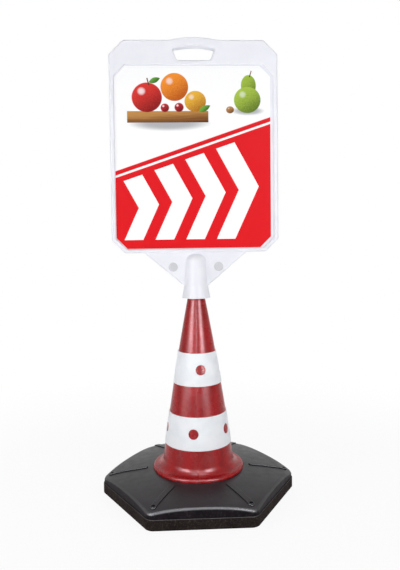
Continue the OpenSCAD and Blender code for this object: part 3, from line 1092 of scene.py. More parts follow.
COVER = BasePlastic("cover plastic", "#161215", "#1E191E", "#332F33", 0.38, 0.27, scuff_share=0.05)
TRAY = BasePlastic("tray plastic", "#221C1B", "#2A2422", "#5A534C", 0.6, 0.12, grain=0.002,
                   grain_depth=0.00015, fleck_share=0.4, scuff="#625B54", scuff_share=0.22)
CONE = ConePlastic("cone plastic", "#A0070D", "#8C050A", "#78060A", 0.27, 0.23,
                   fleck_share=0.2, scuff="#B4565A", scuff_share=0.2)
SLEEVE = Sheeting("sleeve sheeting", "#F3F5F8", "#E9ECF0")
SIGN = MouldedPlastic("sign plastic", "#EAEAF0", "#E6E7ED", "#DDDDE3", 0.36, 0.08, fleck_share=0.12,
                      scuff="#D4D4D9")
CAP = MouldedPlastic("cap plastic", "#BCBCC0", "#B6B6BA", "#A7A7AB", 0.4, 0.4, scuff="#B6B6BA")
PLUG = MouldedPlastic("plug plastic", "#262626", "#303030", "#444444", 0.45, 0.4)
BUSH = MouldedPlastic("bush plastic", "#D9D6CC", "#CFCBBF", "#C2BEB2", 0.42, 0.4, scuff="#B5B1A6")
BALLAST = Concrete("ballast concrete", "#96948D", "#7F7D77")
STEEL = Steel("screw steel", "#B9BABD", "#8E8F93")
DULL_STEEL = Steel("cover screw steel", "#545458", "#3C3C40")
PRINT = PosterPrint("poster print")


@dataclass
class SubAssembly:
    """Pieces that are built and dressed together and ride on one body."""

    body: str

    def dress(self, piece: Object, finish: Finish, slot: str, *nodes: str) -> Object:
        """Finishes a piece and puts it in place of construction nodes.

        Args:
            piece: The piece.
            finish: Its finish.
            slot: Slot of the record that the finish stands for. It is not used.
            nodes: Nodes that the piece replaces.

        Returns:
            The piece.
        """
        piece.data.materials.clear()
        piece.data.materials.append(finish.material())
        piece.data.shade_smooth()
        piece.data.set_sharp_from_angle(angle=math.radians(CREASE))
        even = piece.modifiers.new("even shading", "WEIGHTED_NORMAL")
        even.keep_sharp = True
        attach(piece, self.body)
        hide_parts(*nodes)
        LOG.info("%s rides on %s in place of %s", piece.name, self.body, ", ".join(nodes))
        return piece

    def keep(self, node: str, finish: Finish) -> None:
        """Gives a construction node that stays in the scene its finish.

        Args:
            node: The node.
            finish: Its finish.
        """
        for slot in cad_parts[node].material_slots:
            slot.material = finish.material()
        LOG.info("%s keeps its construction mesh", node)


@dataclass
class Base(SubAssembly):
    """Weighted hexagonal base: tray, ballast, crowned cover and the screws at its corners."""

    corner_round: float = 0.022
    corner_steps: int = 10
    side_cuts: int = 24
    tray_wall: float = 0.006
    tray_floor: float = 0.004
    tray_foot_round: float = 0.003
    tray_top_round: float = 0.0012
    tray_top_steps: int = 3
    seam_ledge: float = 0.002
    crown: float = 0.068
    crown_drop: float = 0.026
    crown_cuts: int = 14
    corner_drop: float = 0.007
    corner_from: float = 0.205
    cover_wall: float = 0.004
    cover_round: float = 0.0055
    cover_round_steps: int = 6
    seat_margin: float = 0.002
    rib_half: float = 0.007
    rib_rise: float = 0.0025
    rib_sink: float = 0.002
    rib_edge: float = 0.0012
    rib_gap: float = 0.013
    rib_end_inset: float = 0.017
    rib_end_steps: int = 12
    rib_cuts: int = 5
    head_r: float = 0.0042
    head_rise: float = 0.002
    head_edge: float = 0.0008
    bore_clear: float = 0.0002
    slot_half: float = 0.0005
    slot_reach: float = 0.0024
    slot_depth: float = 0.0011

    def __post_init__(self) -> None:
        """Takes the main sizes from the frame."""
        self.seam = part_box("base_tray")[1].z
        self.corner_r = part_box("base_tray")[1].y / math.cos(HEX_HALF)
        self.crown_r = arch_radius(self.corner_r, self.crown_drop)
        self.seat_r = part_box("cone_body")[1].x + self.seat_margin
        self.rib_in = self.seat_r + self.rib_gap + self.rib_half
        self.rib_out = self.corner_r - self.rib_end_inset - self.rib_half
        self.screw_low, self.screw_high = (corner.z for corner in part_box("cover_screws"))

    def crown_z(self, out: float) -> float:
        """Height of the crowned top, which is flat under the cone and falls off at the corners.

        Args:
            out: Distance from the axis.

        Returns:
            The height.
        """
        out = max(out, self.seat_r)
        share = max(0.0, out - self.corner_from) / (self.corner_r - self.corner_from)
        ball = self.crown - self.crown_r + math.sqrt(self.crown_r ** 2 - out ** 2)
        return ball - self.corner_drop * share ** 2

    def hexagon(self, mesh: BMesh, inset_by: float, z: float) -> BMFace:
        """Draws the footprint, moved inwards.

        Args:
            mesh: An empty bmesh.
            inset_by: How far it is moved in.
            z: Its height.

        Returns:
            The flat face.
        """
        radius = self.corner_r - inset_by / math.cos(HEX_HALF)
        place = Matrix.Translation((0, 0, z)) @ turned(HEX_HALF)
        bmesh.ops.create_circle(mesh, cap_ends=True, radius=radius, segments=HEX_SIDES, matrix=place)
        round_corners(mesh, mesh.verts[:], self.corner_round - inset_by, self.corner_steps)
        sides = [edge for edge in mesh.edges if edge.calc_length() > self.corner_round * 2]
        bmesh.ops.subdivide_edges(mesh, edges=sides, cuts=self.side_cuts)
        return mesh.faces[:][0]

    def tray(self) -> Object:
        """Builds the tray: a prism with rounded edges, hollowed from above.

        Returns:
            The tray.
        """
        mesh = bmesh.new()
        foot = self.hexagon(mesh, 0.0, self.tray_foot_round)
        top = thicken(mesh, foot, (0, 0, self.seam - self.tray_foot_round - self.tray_top_round))
        roll_edge(mesh, foot, self.tray_foot_round)
        roll_edge(mesh, top, self.tray_top_round, steps=self.tray_top_steps)
        inset(mesh, top, self.tray_wall - self.tray_top_round)
        inset(mesh, top, WELD, self.tray_floor - self.seam)
        clean(mesh)
        return self.dress(as_object(mesh, "tray_moulding"), TRAY, "tray_plastic", "base_tray")

    def crowned_skin(self) -> BMesh:
        """Draws the outside of the cover: its walls, rounded rim and crowned top with a flat seat.

        Returns:
            The open skin.
        """
        mesh = bmesh.new()
        foot = self.hexagon(mesh, self.seam_ledge, self.seam)
        top = thicken(mesh, foot, (0, 0, self.crown - self.cover_round - self.seam))
        roll_edge(mesh, top, self.cover_round, steps=self.cover_round_steps)
        ring = top.edges[:]
        bmesh.ops.delete(mesh, geom=[foot, top], context="FACES_ONLY")
        for left in range(self.crown_cuts, 0, -1):
            drawn = bmesh.ops.extrude_edge_only(mesh, edges=ring)["geom"]
            inner = set(corners_of(drawn))
            ring = [item for item in drawn if isinstance(item, BMEdge) and inner.issuperset(item.verts)]
            for vert in inner:
                flat = vert.co.xy
                vert.co.xy = flat.lerp(flat.normalized() * self.seat_r, 1 / left)
        bmesh.ops.contextual_create(mesh, geom=ring)
        for vert in mesh.verts:
            if vert.co.z > self.seam + WELD:
                vert.co.z += self.crown_z(vert.co.xy.length) - self.crown
        clean(mesh)
        return mesh

    def ribs(self) -> BMesh:
        """Draws the six raised ribs, which follow the crown towards the corners.

        Returns:
            The closed ribs.
        """
        mesh = bmesh.new()
        reach = (self.rib_out - self.rib_in) / 2
        flat = self.rib_half - self.rib_edge
        pen = Pen(mesh, 0.0, self.rib_rise).line((flat / 2, self.rib_rise), (flat, self.rib_rise))
        pen.arc(flat, self.rib_rise - self.rib_edge, -QUARTER, EDGE_STEPS)
        pen.line((self.rib_half, -self.rib_sink))
        move(mesh, turned(-QUARTER))
        bmesh.ops.spin(
            mesh, geom=whole(mesh), cent=(0, 0, 0), axis=(0, 0, 1), angle=math.pi, steps=self.rib_end_steps
        )
        bmesh.ops.remove_doubles(mesh, verts=mesh.verts[:], dist=WELD)
        open_end = [e for e in mesh.edges if e.is_boundary and all(abs(v.co.x) < WELD for v in e.verts)]
        drawn = bmesh.ops.extrude_edge_only(mesh, edges=open_end)["geom"]
        bmesh.ops.translate(mesh, verts=corners_of(drawn), vec=(-reach, 0, 0))
        long = [e for e in mesh.edges if abs(e.verts[0].co.x - e.verts[1].co.x) > reach / 2]
        bmesh.ops.subdivide_edges(mesh, edges=long, cuts=self.rib_cuts, use_grid_fill=True)
        shift(mesh, (reach, 0, 0))
        bmesh.ops.mirror(mesh, geom=whole(mesh), matrix=Matrix(), merge_dist=WELD, axis="X")
        underside = bmesh.ops.holes_fill(mesh, edges=[e for e in mesh.edges if e.is_boundary])["faces"]
        bmesh.ops.triangulate(mesh, faces=underside)
        shift(mesh, ((self.rib_in + self.rib_out) / 2, 0, 0))
        for vert in mesh.verts:
            vert.co.z += self.crown_z(vert.co.xy.length)
        copy_round(mesh, HEX_SIDES)
        clean(mesh)
        return mesh

    def screw_bores(self) -> BMesh:
        """Draws the tools for the sunk holes that take the heads of the screws.

        Returns:
            The closed tools.
        """
        mesh = bmesh.new()
        depth = self.crown - self.screw_high + self.head_rise
        middle = self.screw_high - self.head_rise + depth / 2
        drill(mesh, self.head_r + self.bore_clear, depth, Matrix.Translation((self.rib_out, 0, middle)))
        copy_round(mesh, HEX_SIDES)
        return mesh

    def cover(self) -> Object:
        """Builds the cover: the skin with its wall, the ribs and the holes for the screws.

        Returns:
            The cover.
        """
        piece = as_object(self.crowned_skin(), "cover_moulding")
        wall = piece.modifiers.new("wall", "SOLIDIFY")
        wall.thickness = self.cover_wall
        wall.offset = -1.0
        wall.use_even_offset = True
        settle(piece)
        combine(piece, self.ribs(), Joining.ADD)
        combine(piece, self.screw_bores(), Joining.CUT)
        return self.dress(piece, COVER, "cover_plastic", "base_cover")

    def screws(self) -> Object:
        """Builds the six screws with crossed slots in their pan heads.

        Returns:
            The screws.
        """
        mesh = bmesh.new()
        low, high = self.screw_low, self.screw_high
        under = high - self.head_rise
        shank = self.head_r / 2
        flat = self.head_r - self.head_edge
        pen = Pen(mesh, 0.0, high).line((flat, high)).arc(flat, high - self.head_edge, -QUARTER, EDGE_STEPS)
        pen.line((self.head_r, under), (shank, under), (shank, low + shank), (0.0, low))
        turn_profile(mesh, BORE_STEPS)
        piece = as_object(mesh, "cover_screw_set")
        size = Matrix.Diagonal((2 * self.slot_reach, 2 * self.slot_half, 2 * self.slot_depth, 1))
        for turn in (0.0, QUARTER):
            slot = bmesh.new()
            place = Matrix.Translation((0, 0, high)) @ turned(turn)
            bmesh.ops.create_cube(slot, size=1.0, matrix=place @ size)
            combine(piece, slot, Joining.CUT)
        ring = bmesh.new()
        ring.from_mesh(piece.data)
        shift(ring, (self.rib_out, 0, 0))
        copy_round(ring, HEX_SIDES)
        ring.to_mesh(piece.data)
        ring.free()
        return self.dress(piece, DULL_STEEL, "screw_steel", "cover_screws")

    def build(self) -> None:
        """Builds and dresses the whole base."""
        self.tray()
        self.cover()
        self.screws()
        self.keep("ballast_block", BALLAST)


class StudRow(NamedTuple):
    """Studs that hold one sleeve: the sleeve's node, their number and the turn of the first."""

    node: str
    count: int
    turn: float


@dataclass
class Cone(SubAssembly):
    """Road cone with a flared foot, two white sleeves and the studs that hold them."""

    body_r: float = 0.088
    top_r: float = 0.021
    bulge: float = 0.003
    bulge_factor: float = 4.0
    wall: float = 0.003
    flare_round: float = 0.02
    flare_steps: int = 14
    foot_h: float = 0.009
    foot_round: float = 0.006
    foot_steps: int = 6
    lip_round: float = 0.0008
    lip_steps: int = 3
    side_steps: int = 24
    sleeve_gap: float = 0.0002
    sleeve_wall: float = 0.0015
    sleeve_round: float = 0.0006
    stud_r: float = 0.0117
    stud_rise: float = 0.0011
    stud_edge: float = 0.0006
    stud_clear: float = 0.0006
    stud_root: float = 0.0015
    stud_steps: int = 48
    stud_rings: tuple[float, ...] = (0.75, 0.5, 0.25, 0.0)
    tool_share: float = 0.25
    stud_rows: tuple[StudRow, ...] = (
        StudRow("lower_sleeve", 5, math.radians(-10.6)),
        StudRow("upper_sleeve", 3, math.radians(7.0)),
    )

    def __post_init__(self) -> None:
        """Takes the main sizes from the frame."""
        low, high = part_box("cone_body")
        self.seat, self.top, self.foot_r = low.z, high.z, high.x
        slope = (self.body_r - self.top_r - self.bulge_factor * self.bulge) / (self.top - self.seat)
        self.lean = math.atan(slope)
        self.flare_x = self.foot_r - self.foot_round
        self.flare_z = self.seat + self.foot_h + self.flare_round
        self.body_z = self.flare_z - self.flare_round * math.sin(self.lean)

    def radius(self, z: float) -> float:
        """Radius of the cone's side at a height above its flare.

        Args:
            z: The height.

        Returns:
            The radius.
        """
        share = (z - self.body_z) / (self.top - self.body_z)
        straight = self.body_r + (self.top_r - self.body_r) * share
        return straight + self.bulge_factor * self.bulge * share * (1 - share)

    def rise(self, pen: Pen, low: float, high: float, off: float) -> Pen:
        """Draws a line along the cone's side.

        Args:
            pen: The pen, at the lower end.
            low: Height of the lower end.
            high: Height of the upper end.
            off: How far the line lies outside the cone.

        Returns:
            The pen, at the upper end.
        """
        for step in range(1, self.side_steps + 1):
            z = low + (high - low) * step / self.side_steps
            pen.line((self.radius(z) + off, z))
        return pen

    def side(self, mesh: BMesh, inset_by: float) -> Pen:
        """Draws the side of the cone from its foot to its top, moved inwards.

        Args:
            mesh: The bmesh to draw in.
            inset_by: How far the line is moved in.

        Returns:
            The pen at the top.
        """
        round_z = self.seat + self.foot_h - self.foot_round
        pen = Pen(mesh, self.foot_r - inset_by, self.seat).line((self.foot_r - inset_by, round_z))
        pen.arc(self.flare_x, round_z, QUARTER, self.foot_steps)
        pen.line((self.flare_x, self.flare_z - self.flare_round - inset_by))
        pen.arc(self.flare_x, self.flare_z, self.lean - QUARTER, self.flare_steps)
        return self.rise(pen, self.body_z, self.top, -inset_by)

    def band(self, low: float, high: float) -> BMesh:
        """Draws a closed sleeve without its holes, which lies on the cone's side.

        Args:
            low: Lower edge.
            high: Upper edge.

        Returns:
            The turned sleeve.
        """
        mesh = bmesh.new()
        inner, outer = (
            self.rise(Pen(mesh, self.radius(low) + off, low), low, high, off)
            for off in (self.sleeve_gap, self.sleeve_gap + self.sleeve_wall)
        )
        inner.join(outer.tip)
        mesh.edges.new((inner.first, outer.first))
        round_corners(mesh, [outer.first, outer.tip], self.sleeve_round, EDGE_STEPS)
        turn_profile(mesh)
        return mesh

    def wrap(self, mesh: BMesh, z: float, turn: float) -> None:
        """Lays what is drawn about the Z axis on the side of the cone.

        Args:
            mesh: The bmesh, whose Z axis becomes the way out of the cone.
            z: Height of its middle.
            turn: Turn of its middle from the front.
        """
        middle_r = self.radius(z)
        for vert in mesh.verts:
            across, up, out = vert.co
            angle = turn + across / middle_r
            reach = self.radius(z + up) + out
            vert.co = (reach * math.sin(angle), -reach * math.cos(angle), z + up)
        clean(mesh)

    def button(self, radius: float, low: float, high: float, edge: float) -> BMesh:
        """Draws a round button about the Z axis, whose outer edge is rounded or spread.

        Args:
            radius: Its radius.
            low: Its lower face.
            high: Its upper face.
            edge: Rounding radius of the upper edge, or the spread of a cutting tool below zero.

        Returns:
            The closed button.
        """
        mesh = bmesh.new()
        pen = Pen(mesh, 0.0, low).line((radius / 2, low), (radius, low), (radius, high - abs(edge)))
        if edge > 0:
            pen.arc(radius - edge, high - edge, QUARTER, EDGE_STEPS)
        else:
            pen.line((radius - edge, high), (radius - edge, high + radius * self.tool_share))
        tip = pen.tip.co
        pen.line(*((tip.x * share, tip.z) for share in self.stud_rings))
        turn_profile(mesh, self.stud_steps)
        return mesh

    def place_buttons(self, piece: Object, row: StudRow, shape: tuple[float, ...], joining: Joining) -> None:
        """Adds the studs of one sleeve to a piece, or cuts holes for them.

        Args:
            piece: The piece.
            row: The row of studs.
            shape: Radius, lower face, upper face and edge of one button.
            joining: Whether the buttons are added or cut.
        """
        middle = sum(corner.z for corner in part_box(row.node)) / 2
        for index in range(row.count):
            button = self.button(*shape)
            self.wrap(button, middle, row.turn + index * FULL / row.count)
            combine(piece, button, joining)

    def moulding(self) -> Object:
        """Builds the cone with the studs that stand out of it.

        Returns:
            The cone.
        """
        mesh = bmesh.new()
        outer = self.side(mesh, 0.0)
        inner = self.side(mesh, self.wall)
        outer.join(inner.tip)
        mesh.edges.new((outer.first, inner.first))
        round_corners(mesh, [outer.first, outer.tip], self.lip_round, self.lip_steps)
        turn_profile(mesh)
        piece = as_object(mesh, "cone_moulding")
        stud = (self.stud_r, -self.stud_root, self.stud_rise, self.stud_edge)
        for row in self.stud_rows:
            self.place_buttons(piece, row, stud, Joining.ADD)
        return self.dress(piece, CONE, "cone_plastic", "cone_body")

    def sleeves(self) -> None:
        """Builds the two sleeves with their holes."""
        out = self.sleeve_gap + self.sleeve_wall
        hole = (self.stud_r + self.stud_clear, -self.wall, out, -self.stud_edge)
        for row in self.stud_rows:
            low, high = (corner.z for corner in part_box(row.node))
            piece = as_object(self.band(low, high), row.node + "_band")
            self.place_buttons(piece, row, hole, Joining.CUT)
            self.dress(piece, SLEEVE, "sleeve_plastic", row.node)

    def build(self) -> None:
        """Builds and dresses the cone and what is on it."""
        self.moulding()
        self.sleeves()
        self.keep("cone_screws", STEEL)
        self.keep("neck_plug", PLUG)


@dataclass
class SignHead(SubAssembly):
    """Sign head: two moulded halves with a handle, a gusset and a socket, their posters and clamps."""

    half_t: float = 0.016
    arch_rise: float = 0.007
    arch_half: float = 0.06
    arch_steps: int = 24
    arch_blend: float = 0.06
    arch_blend_steps: int = 8
    arch_turn: Run = Run(10.0, 20.0)
    sign_h: float = 0.522
    cut_low: float = 0.032
    cut_high: float = 0.035
    corner_round: float = 0.009
    corner_turn: Run = Run(30.0, 60.0)
    edge_round: float = 0.0045
    parting: float = 0.0005
    border_side: float = 0.011
    border_low: float = 0.009
    border_high: float = 0.06
    recess_cut: float = 0.027
    recess_round: float = 0.0022
    recess_corner: float = 0.002
    recess_corner_steps: int = 3
    hole_drop: float = 0.048
    hole_low_half: float = 0.041
    hole_high_half: float = 0.0525
    hole_side: float = 0.027
    hole_arch: float = 0.006
    hole_arch_steps: int = 20
    hole_round: float = 0.007
    hole_turn: Run = Run(30.0, 120.0)
    hole_edge: float = 0.007
    gusset_half_t: float = 0.009
    gusset_tip: float = 0.0287
    gusset_top: float = 0.1287
    gusset_drop: float = 0.0855
    gusset_round: float = 0.0048
    gusset_sink: float = 0.004
    knee_r: float = 0.03
    knee_up: float = 0.029
    cap_r: float = 0.026
    cap_up: float = 0.091
    cap_round: float = 0.02
    cap_steps: int = 10
    socket_wall: float = 0.003
    socket_steps: int = 96
    ledge_r: float = 0.0213
    ledge_t: float = 0.005
    head_r: float = 0.0112
    head_t: float = 0.0025
    head_edge: float = 0.0011
    head_edge_steps: int = 5
    head_dome: float = 0.0004
    head_rings: tuple[float, ...] = (0.35, 0.7)
    head_steps: int = 64
    bolt_r: float = 0.003
    bolt_clear: float = 0.0002
    bolt_bore: float = 0.064
    sheet_edge: float = 0.0004
    tool_over: float = 0.002

    def __post_init__(self) -> None:
        """Takes the main sizes from the frame."""
        low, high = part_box("sign_front_shell")
        self.half_w, self.mouth_r, self.mouth_z = high.x, -low.y, low.z
        self.top = high.z - self.arch_rise
        self.foot = self.top - self.sign_h
        self.sheet_low, self.sheet_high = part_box("front_poster")
        low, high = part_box("clamp_bolts")
        self.clamp_x = high.x - self.head_r
        self.clamp_z = (low.z + high.z) / 2

    def octagon(self, mesh: BMesh, left: float, right: float, low: float, high: float, cut: float) -> BMFace:
        """Draws an upright outline with four bevelled corners.

        Args:
            mesh: An empty bmesh.
            left: Its left side.
            right: Its right side.
            low: Its lower side.
            high: Its upper side.
            cut: Bevel of its corners.

        Returns:
            The flat face in the parting plane.
        """
        pen = Pen(mesh, left + cut, low)
        pen.line((right - cut, low), (right, low + cut), (right, high - cut), (right - cut, high))
        return pen.line((left + cut, high), (left, high - cut), (left, low + cut)).face()

    def frame_blank(self) -> BMesh:
        """Draws half of the frame without its recess: an octagon with the arch of the handle.

        Returns:
            The closed half.
        """
        mesh = bmesh.new()
        side, low, high = self.half_w, self.foot, self.top
        pen = Pen(mesh, -side + self.cut_low, low)
        pen.line((side - self.cut_low, low), (side, low + self.cut_low), (side, high - self.cut_high))
        pen.line((side - self.cut_high, high), (self.arch_half, high))
        pen.arch(self.arch_half, high, self.arch_rise, self.arch_steps)
        pen.line((-side + self.cut_high, high), (-side, high - self.cut_high), (-side, low + self.cut_low))
        pen.face()
        round_corners(mesh, sharp_corners(mesh, *self.corner_turn), self.corner_round)
        round_corners(mesh, sharp_corners(mesh, *self.arch_turn), self.arch_blend, self.arch_blend_steps)
        return self.plate(mesh, self.half_t, self.edge_round, self.parting)

    def plate(self, mesh: BMesh, depth: float, edge: float, parting: float) -> BMesh:
        """Turns an upright outline into half of a plate with a rounded front edge.

        Args:
            mesh: A bmesh that holds the outline's face.
            depth: How far the front lies from the parting plane.
            edge: Rounding radius of the front edge.
            parting: Rounding radius of the edge at the parting plane.

        Returns:
            The closed plate.
        """
        back = mesh.faces[:][0]
        shift(mesh, (0, -parting, 0))
        front = thicken(mesh, back, (0, parting + edge - depth, 0))
        roll_edge(mesh, front, edge)
        roll_edge(mesh, back, parting, steps=PAIR_STEPS)
        clean(mesh)
        return mesh

    def tool(self, mesh: BMesh, start: float, spread: float) -> BMesh:
        """Turns an upright outline into a tool that cuts a hollow with a rounded mouth into the front.

        Args:
            mesh: A bmesh that holds the outline's face.
            start: How far the bottom of the hollow lies in front of the parting plane.
            spread: Rounding radius of the mouth.

        Returns:
            The closed tool.
        """
        bottom = mesh.faces[:][0]
        shift(mesh, (0, -start, 0))
        mouth = thicken(mesh, bottom, (0, start + spread - self.half_t, 0))
        roll_edge(mesh, mouth, spread, Rim.FLARE)
        thicken(mesh, mouth, (0, -self.tool_over, 0))
        bmesh.ops.delete(mesh, geom=[mouth], context="FACES_ONLY")
        clean(mesh)
        return mesh

    def recess_tool(self) -> BMesh:
        """Draws the tool for the recess that the poster lies in.

        Returns:
            The closed tool.
        """
        mesh = bmesh.new()
        side = self.half_w - self.border_side
        low, high = self.foot + self.border_low, self.top - self.border_high
        self.octagon(mesh, -side, side, low, high, self.recess_cut)
        round_corners(mesh, mesh.verts[:], self.recess_corner, self.recess_corner_steps)
        return self.tool(mesh, -self.sheet_high.y, self.recess_round)

    def hole_tool(self) -> BMesh:
        """Draws the tool for the hand hole, which has an arched top and rounded corners.

        Returns:
            The closed tool.
        """
        mesh = bmesh.new()
        low = self.top - self.hole_drop
        high = low + self.hole_side
        pen = Pen(mesh, -self.hole_low_half, low).line((self.hole_low_half, low), (self.hole_high_half, high))
        pen.arch(self.hole_high_half, high, self.hole_arch, self.hole_arch_steps).face()
        round_corners(mesh, sharp_corners(mesh, *self.hole_turn), self.hole_round)
        return self.tool(mesh, -self.tool_over, self.hole_edge)

    def gusset(self) -> BMesh:
        """Draws half of the three-cornered gusset below the frame.

        Returns:
            The closed half.
        """
        mesh = bmesh.new()
        slope = (self.gusset_top - self.gusset_tip) / self.gusset_drop
        wide = self.gusset_top + slope * self.gusset_sink
        low, high = self.foot - self.gusset_drop, self.foot + self.gusset_sink
        Pen(mesh, -self.gusset_tip, low).line((self.gusset_tip, low), (wide, high), (-wide, high)).face()
        return self.plate(mesh, self.gusset_half_t, self.gusset_round, self.parting / 2)

    def socket(self, inset_by: float, below: float) -> BMesh:
        """Draws the socket about the axis as a solid, moved inwards.

        Args:
            inset_by: How far it is moved in.
            below: How far it is lengthened past the mouth.

        Returns:
            The closed solid.
        """
        mesh = bmesh.new()
        mouth = self.mouth_r - inset_by
        cap_z = self.mouth_z + self.cap_up
        pen = Pen(mesh, 0.0, self.mouth_z - below).line((mouth, self.mouth_z - below))
        if below:
            pen.line((mouth, self.mouth_z))
        knee = pen.line((self.knee_r - inset_by, self.mouth_z + self.knee_up)).tip
        pen.line((self.cap_r - inset_by, cap_z))
        pen.arc(self.cap_r - self.cap_round, cap_z, QUARTER, self.cap_steps)
        pen.line((0.0, cap_z + self.cap_round - inset_by))
        round_corners(mesh, [knee], self.knee_r)
        turn_profile(mesh, self.socket_steps)
        return mesh

    def front_part(self, mesh: BMesh) -> BMesh:
        """Keeps what lies in front of the parting gap and closes the cut.

        Args:
            mesh: A closed bmesh.

        Returns:
            The closed half.
        """
        cut = bmesh.ops.bisect_plane(
            mesh,
            geom=whole(mesh),
            dist=WELD,
            plane_co=(0, -self.parting, 0),
            plane_no=(0, 1, 0),
            clear_outer=True,
        )["geom_cut"]
        rim = [item for item in cut if isinstance(item, BMEdge)]
        bmesh.ops.triangle_fill(mesh, use_beauty=True, edges=rim)
        clean(mesh)
        return mesh

    def ledge(self, z: float) -> BMesh:
        """Draws half of a ring inside the socket that turns on the bush.

        Args:
            z: Its lower face.

        Returns:
            The closed half.
        """
        mesh = bmesh.new()
        out, high = self.cap_r - self.socket_wall / 2, z + self.ledge_t
        pen = Pen(mesh, self.ledge_r, z).line((out, z), (out, high), (self.ledge_r, high))
        pen.join(pen.first)
        turn_profile(mesh, self.socket_steps)
        return self.front_part(mesh)

    def bolt_holes(self) -> BMesh:
        """Draws the tools for the two holes of the clamp bolts.

        Returns:
            The closed tools.
        """
        mesh = bmesh.new()
        for x in (-self.clamp_x, self.clamp_x):
            place = Matrix.Translation((x, 0, self.clamp_z)) @ turned(QUARTER, "X")
            drill(mesh, self.bolt_r + self.bolt_clear, self.bolt_bore, place)
        return mesh

    def half(self) -> Object:
        """Builds the front half of the head.

        Returns:
            The half, not yet dressed.
        """
        piece = as_object(self.frame_blank(), "front_half")
        combine(piece, self.recess_tool(), Joining.CUT)
        combine(piece, self.hole_tool(), Joining.CUT)
        combine(piece, self.gusset(), Joining.ADD)
        combine(piece, self.front_part(self.socket(0.0, 0.0)), Joining.ADD)
        combine(piece, self.socket(self.socket_wall, self.tool_over), Joining.CUT)
        bush_low, bush_high = (corner.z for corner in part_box("socket_bush"))
        for z in (bush_low + self.ledge_t, bush_high - 2 * self.ledge_t):
            combine(piece, self.ledge(z), Joining.ADD)
        combine(piece, self.bolt_holes(), Joining.CUT)
        return piece

    def halves(self) -> None:
        """Builds both halves of the head; the rear one is the front one turned about the axis."""
        front = self.half()
        rear = bpy.data.objects.new("rear_half", front.data.copy())
        rear.data.transform(turned(Side.REAR.value))
        bpy.context.scene.collection.objects.link(rear)
        self.dress(front, SIGN, "sign_plastic", "sign_front_shell")
        self.dress(rear, SIGN, "sign_plastic", "sign_rear_shell")

    def sheet(self, side: Side, name: str, node: str) -> Object:
        """Builds a printed sheet with a chart of its front, in metres from its lower left corner.

        Args:
            side: The half that it lies in.
            name: Name of the piece.
            node: Node that it replaces.

        Returns:
            The sheet.
        """
        mesh = bmesh.new()
        low, high = self.sheet_low, self.sheet_high
        back = self.octagon(mesh, low.x, high.x, low.z, high.z, self.recess_cut)
        shift(mesh, (0, high.y, 0))
        front = thicken(mesh, back, (0, low.y - high.y + self.sheet_edge, 0))
        roll_edge(mesh, front, self.sheet_edge, steps=PAIR_STEPS)
        clean(mesh)
        chart = mesh.loops.layers.uv.new("print")
        for face in mesh.faces:
            for loop in face.loops:
                loop[chart].uv = (loop.vert.co.x - low.x, loop.vert.co.z - low.z)
        move(mesh, turned(side.value))
        return self.dress(as_object(mesh, name), PRINT, "poster_print", node)

    def clamps(self, side: Side, name: str, node: str) -> Object:
        """Builds the two disc heads of one side with their shanks.

        Args:
            side: The side that they lie on.
            name: Name of the piece.
            node: Node that they replace.

        Returns:
            The pair.
        """
        mesh = bmesh.new()
        seat, rim = self.gusset_half_t, self.gusset_half_t + self.head_t - self.head_dome
        flat = self.head_r - self.head_edge
        pen = Pen(mesh, 0.0, rim + self.head_dome)
        pen.line(*((flat * share, rim + self.head_dome * (1 - share ** 2)) for share in self.head_rings))
        pen.line((flat, rim)).arc(flat, rim - self.head_edge, -QUARTER, self.head_edge_steps)
        pen.line((self.head_r, seat), (self.bolt_r, seat), (self.bolt_r, self.parting), (0.0, self.parting))
        turn_profile(mesh, self.head_steps)
        move(mesh, turned(QUARTER, "X"))
        shift(mesh, (-self.clamp_x, 0, self.clamp_z))
        pair = bmesh.ops.duplicate(mesh, geom=whole(mesh))["geom"]
        bmesh.ops.translate(mesh, verts=corners_of(pair), vec=(2 * self.clamp_x, 0, 0))
        move(mesh, turned(side.value))
        return self.dress(as_object(mesh, name), CAP, "cap_plastic", node)

    def build(self) -> None:
        """Builds and dresses the whole head."""
        self.halves()
        self.sheet(Side.FRONT, "front_sheet", "front_poster")
        self.sheet(Side.REAR, "rear_sheet", "rear_poster")
        self.clamps(Side.FRONT, "front_clamps", "clamp_bolts")
        self.clamps(Side.REAR, "rear_clamps", "clamp_nuts")
        self.keep("shell_screws", STEEL)


@dataclass
class Bush(SubAssembly):
    """Bush that the head turns on."""

    def build(self) -> None:
        """Dresses the bush."""
        self.keep("socket_bush", BUSH)


class Reach(Enum):
    """Whether a lamp lights matt surfaces, and whether it shows in glossy ones."""

    ALL = (True, True)
    SHEEN = (False, True)
    MATT = (True, False)


@dataclass(frozen=True)
class SoftBox:
    """Rectangular lamp that looks at the axis of the object."""

    name: str
    turn: float
    far: float
    up: float
    aim: float
    size: tuple[float, float]
    power: float
    reach: Reach = Reach.ALL
    colour: tuple[float, float, float] = (1.0, 1.0, 1.0)

    def hang(self) -> None:
        """Hangs the lamp at its angle in degrees from the front, to the right."""
        data = bpy.data.lights.new(self.name, "AREA")
        data.shape = "RECTANGLE"
        data.size, data.size_y = self.size
        data.energy = self.power
        data.color = self.colour
        turn = math.radians(self.turn)
        spot = Vector((math.sin(turn) * self.far, -math.cos(turn) * self.far, self.up))
        look = (Vector((0.0, 0.0, self.aim)) - spot).to_track_quat("-Z", "Y")
        made = bpy.data.objects.new(self.name, data)
        made.matrix_world = Matrix.Translation(spot) @ look.to_matrix().to_4x4()
        made.visible_diffuse, made.visible_glossy = self.reach.value
        bpy.context.scene.collection.objects.link(made)


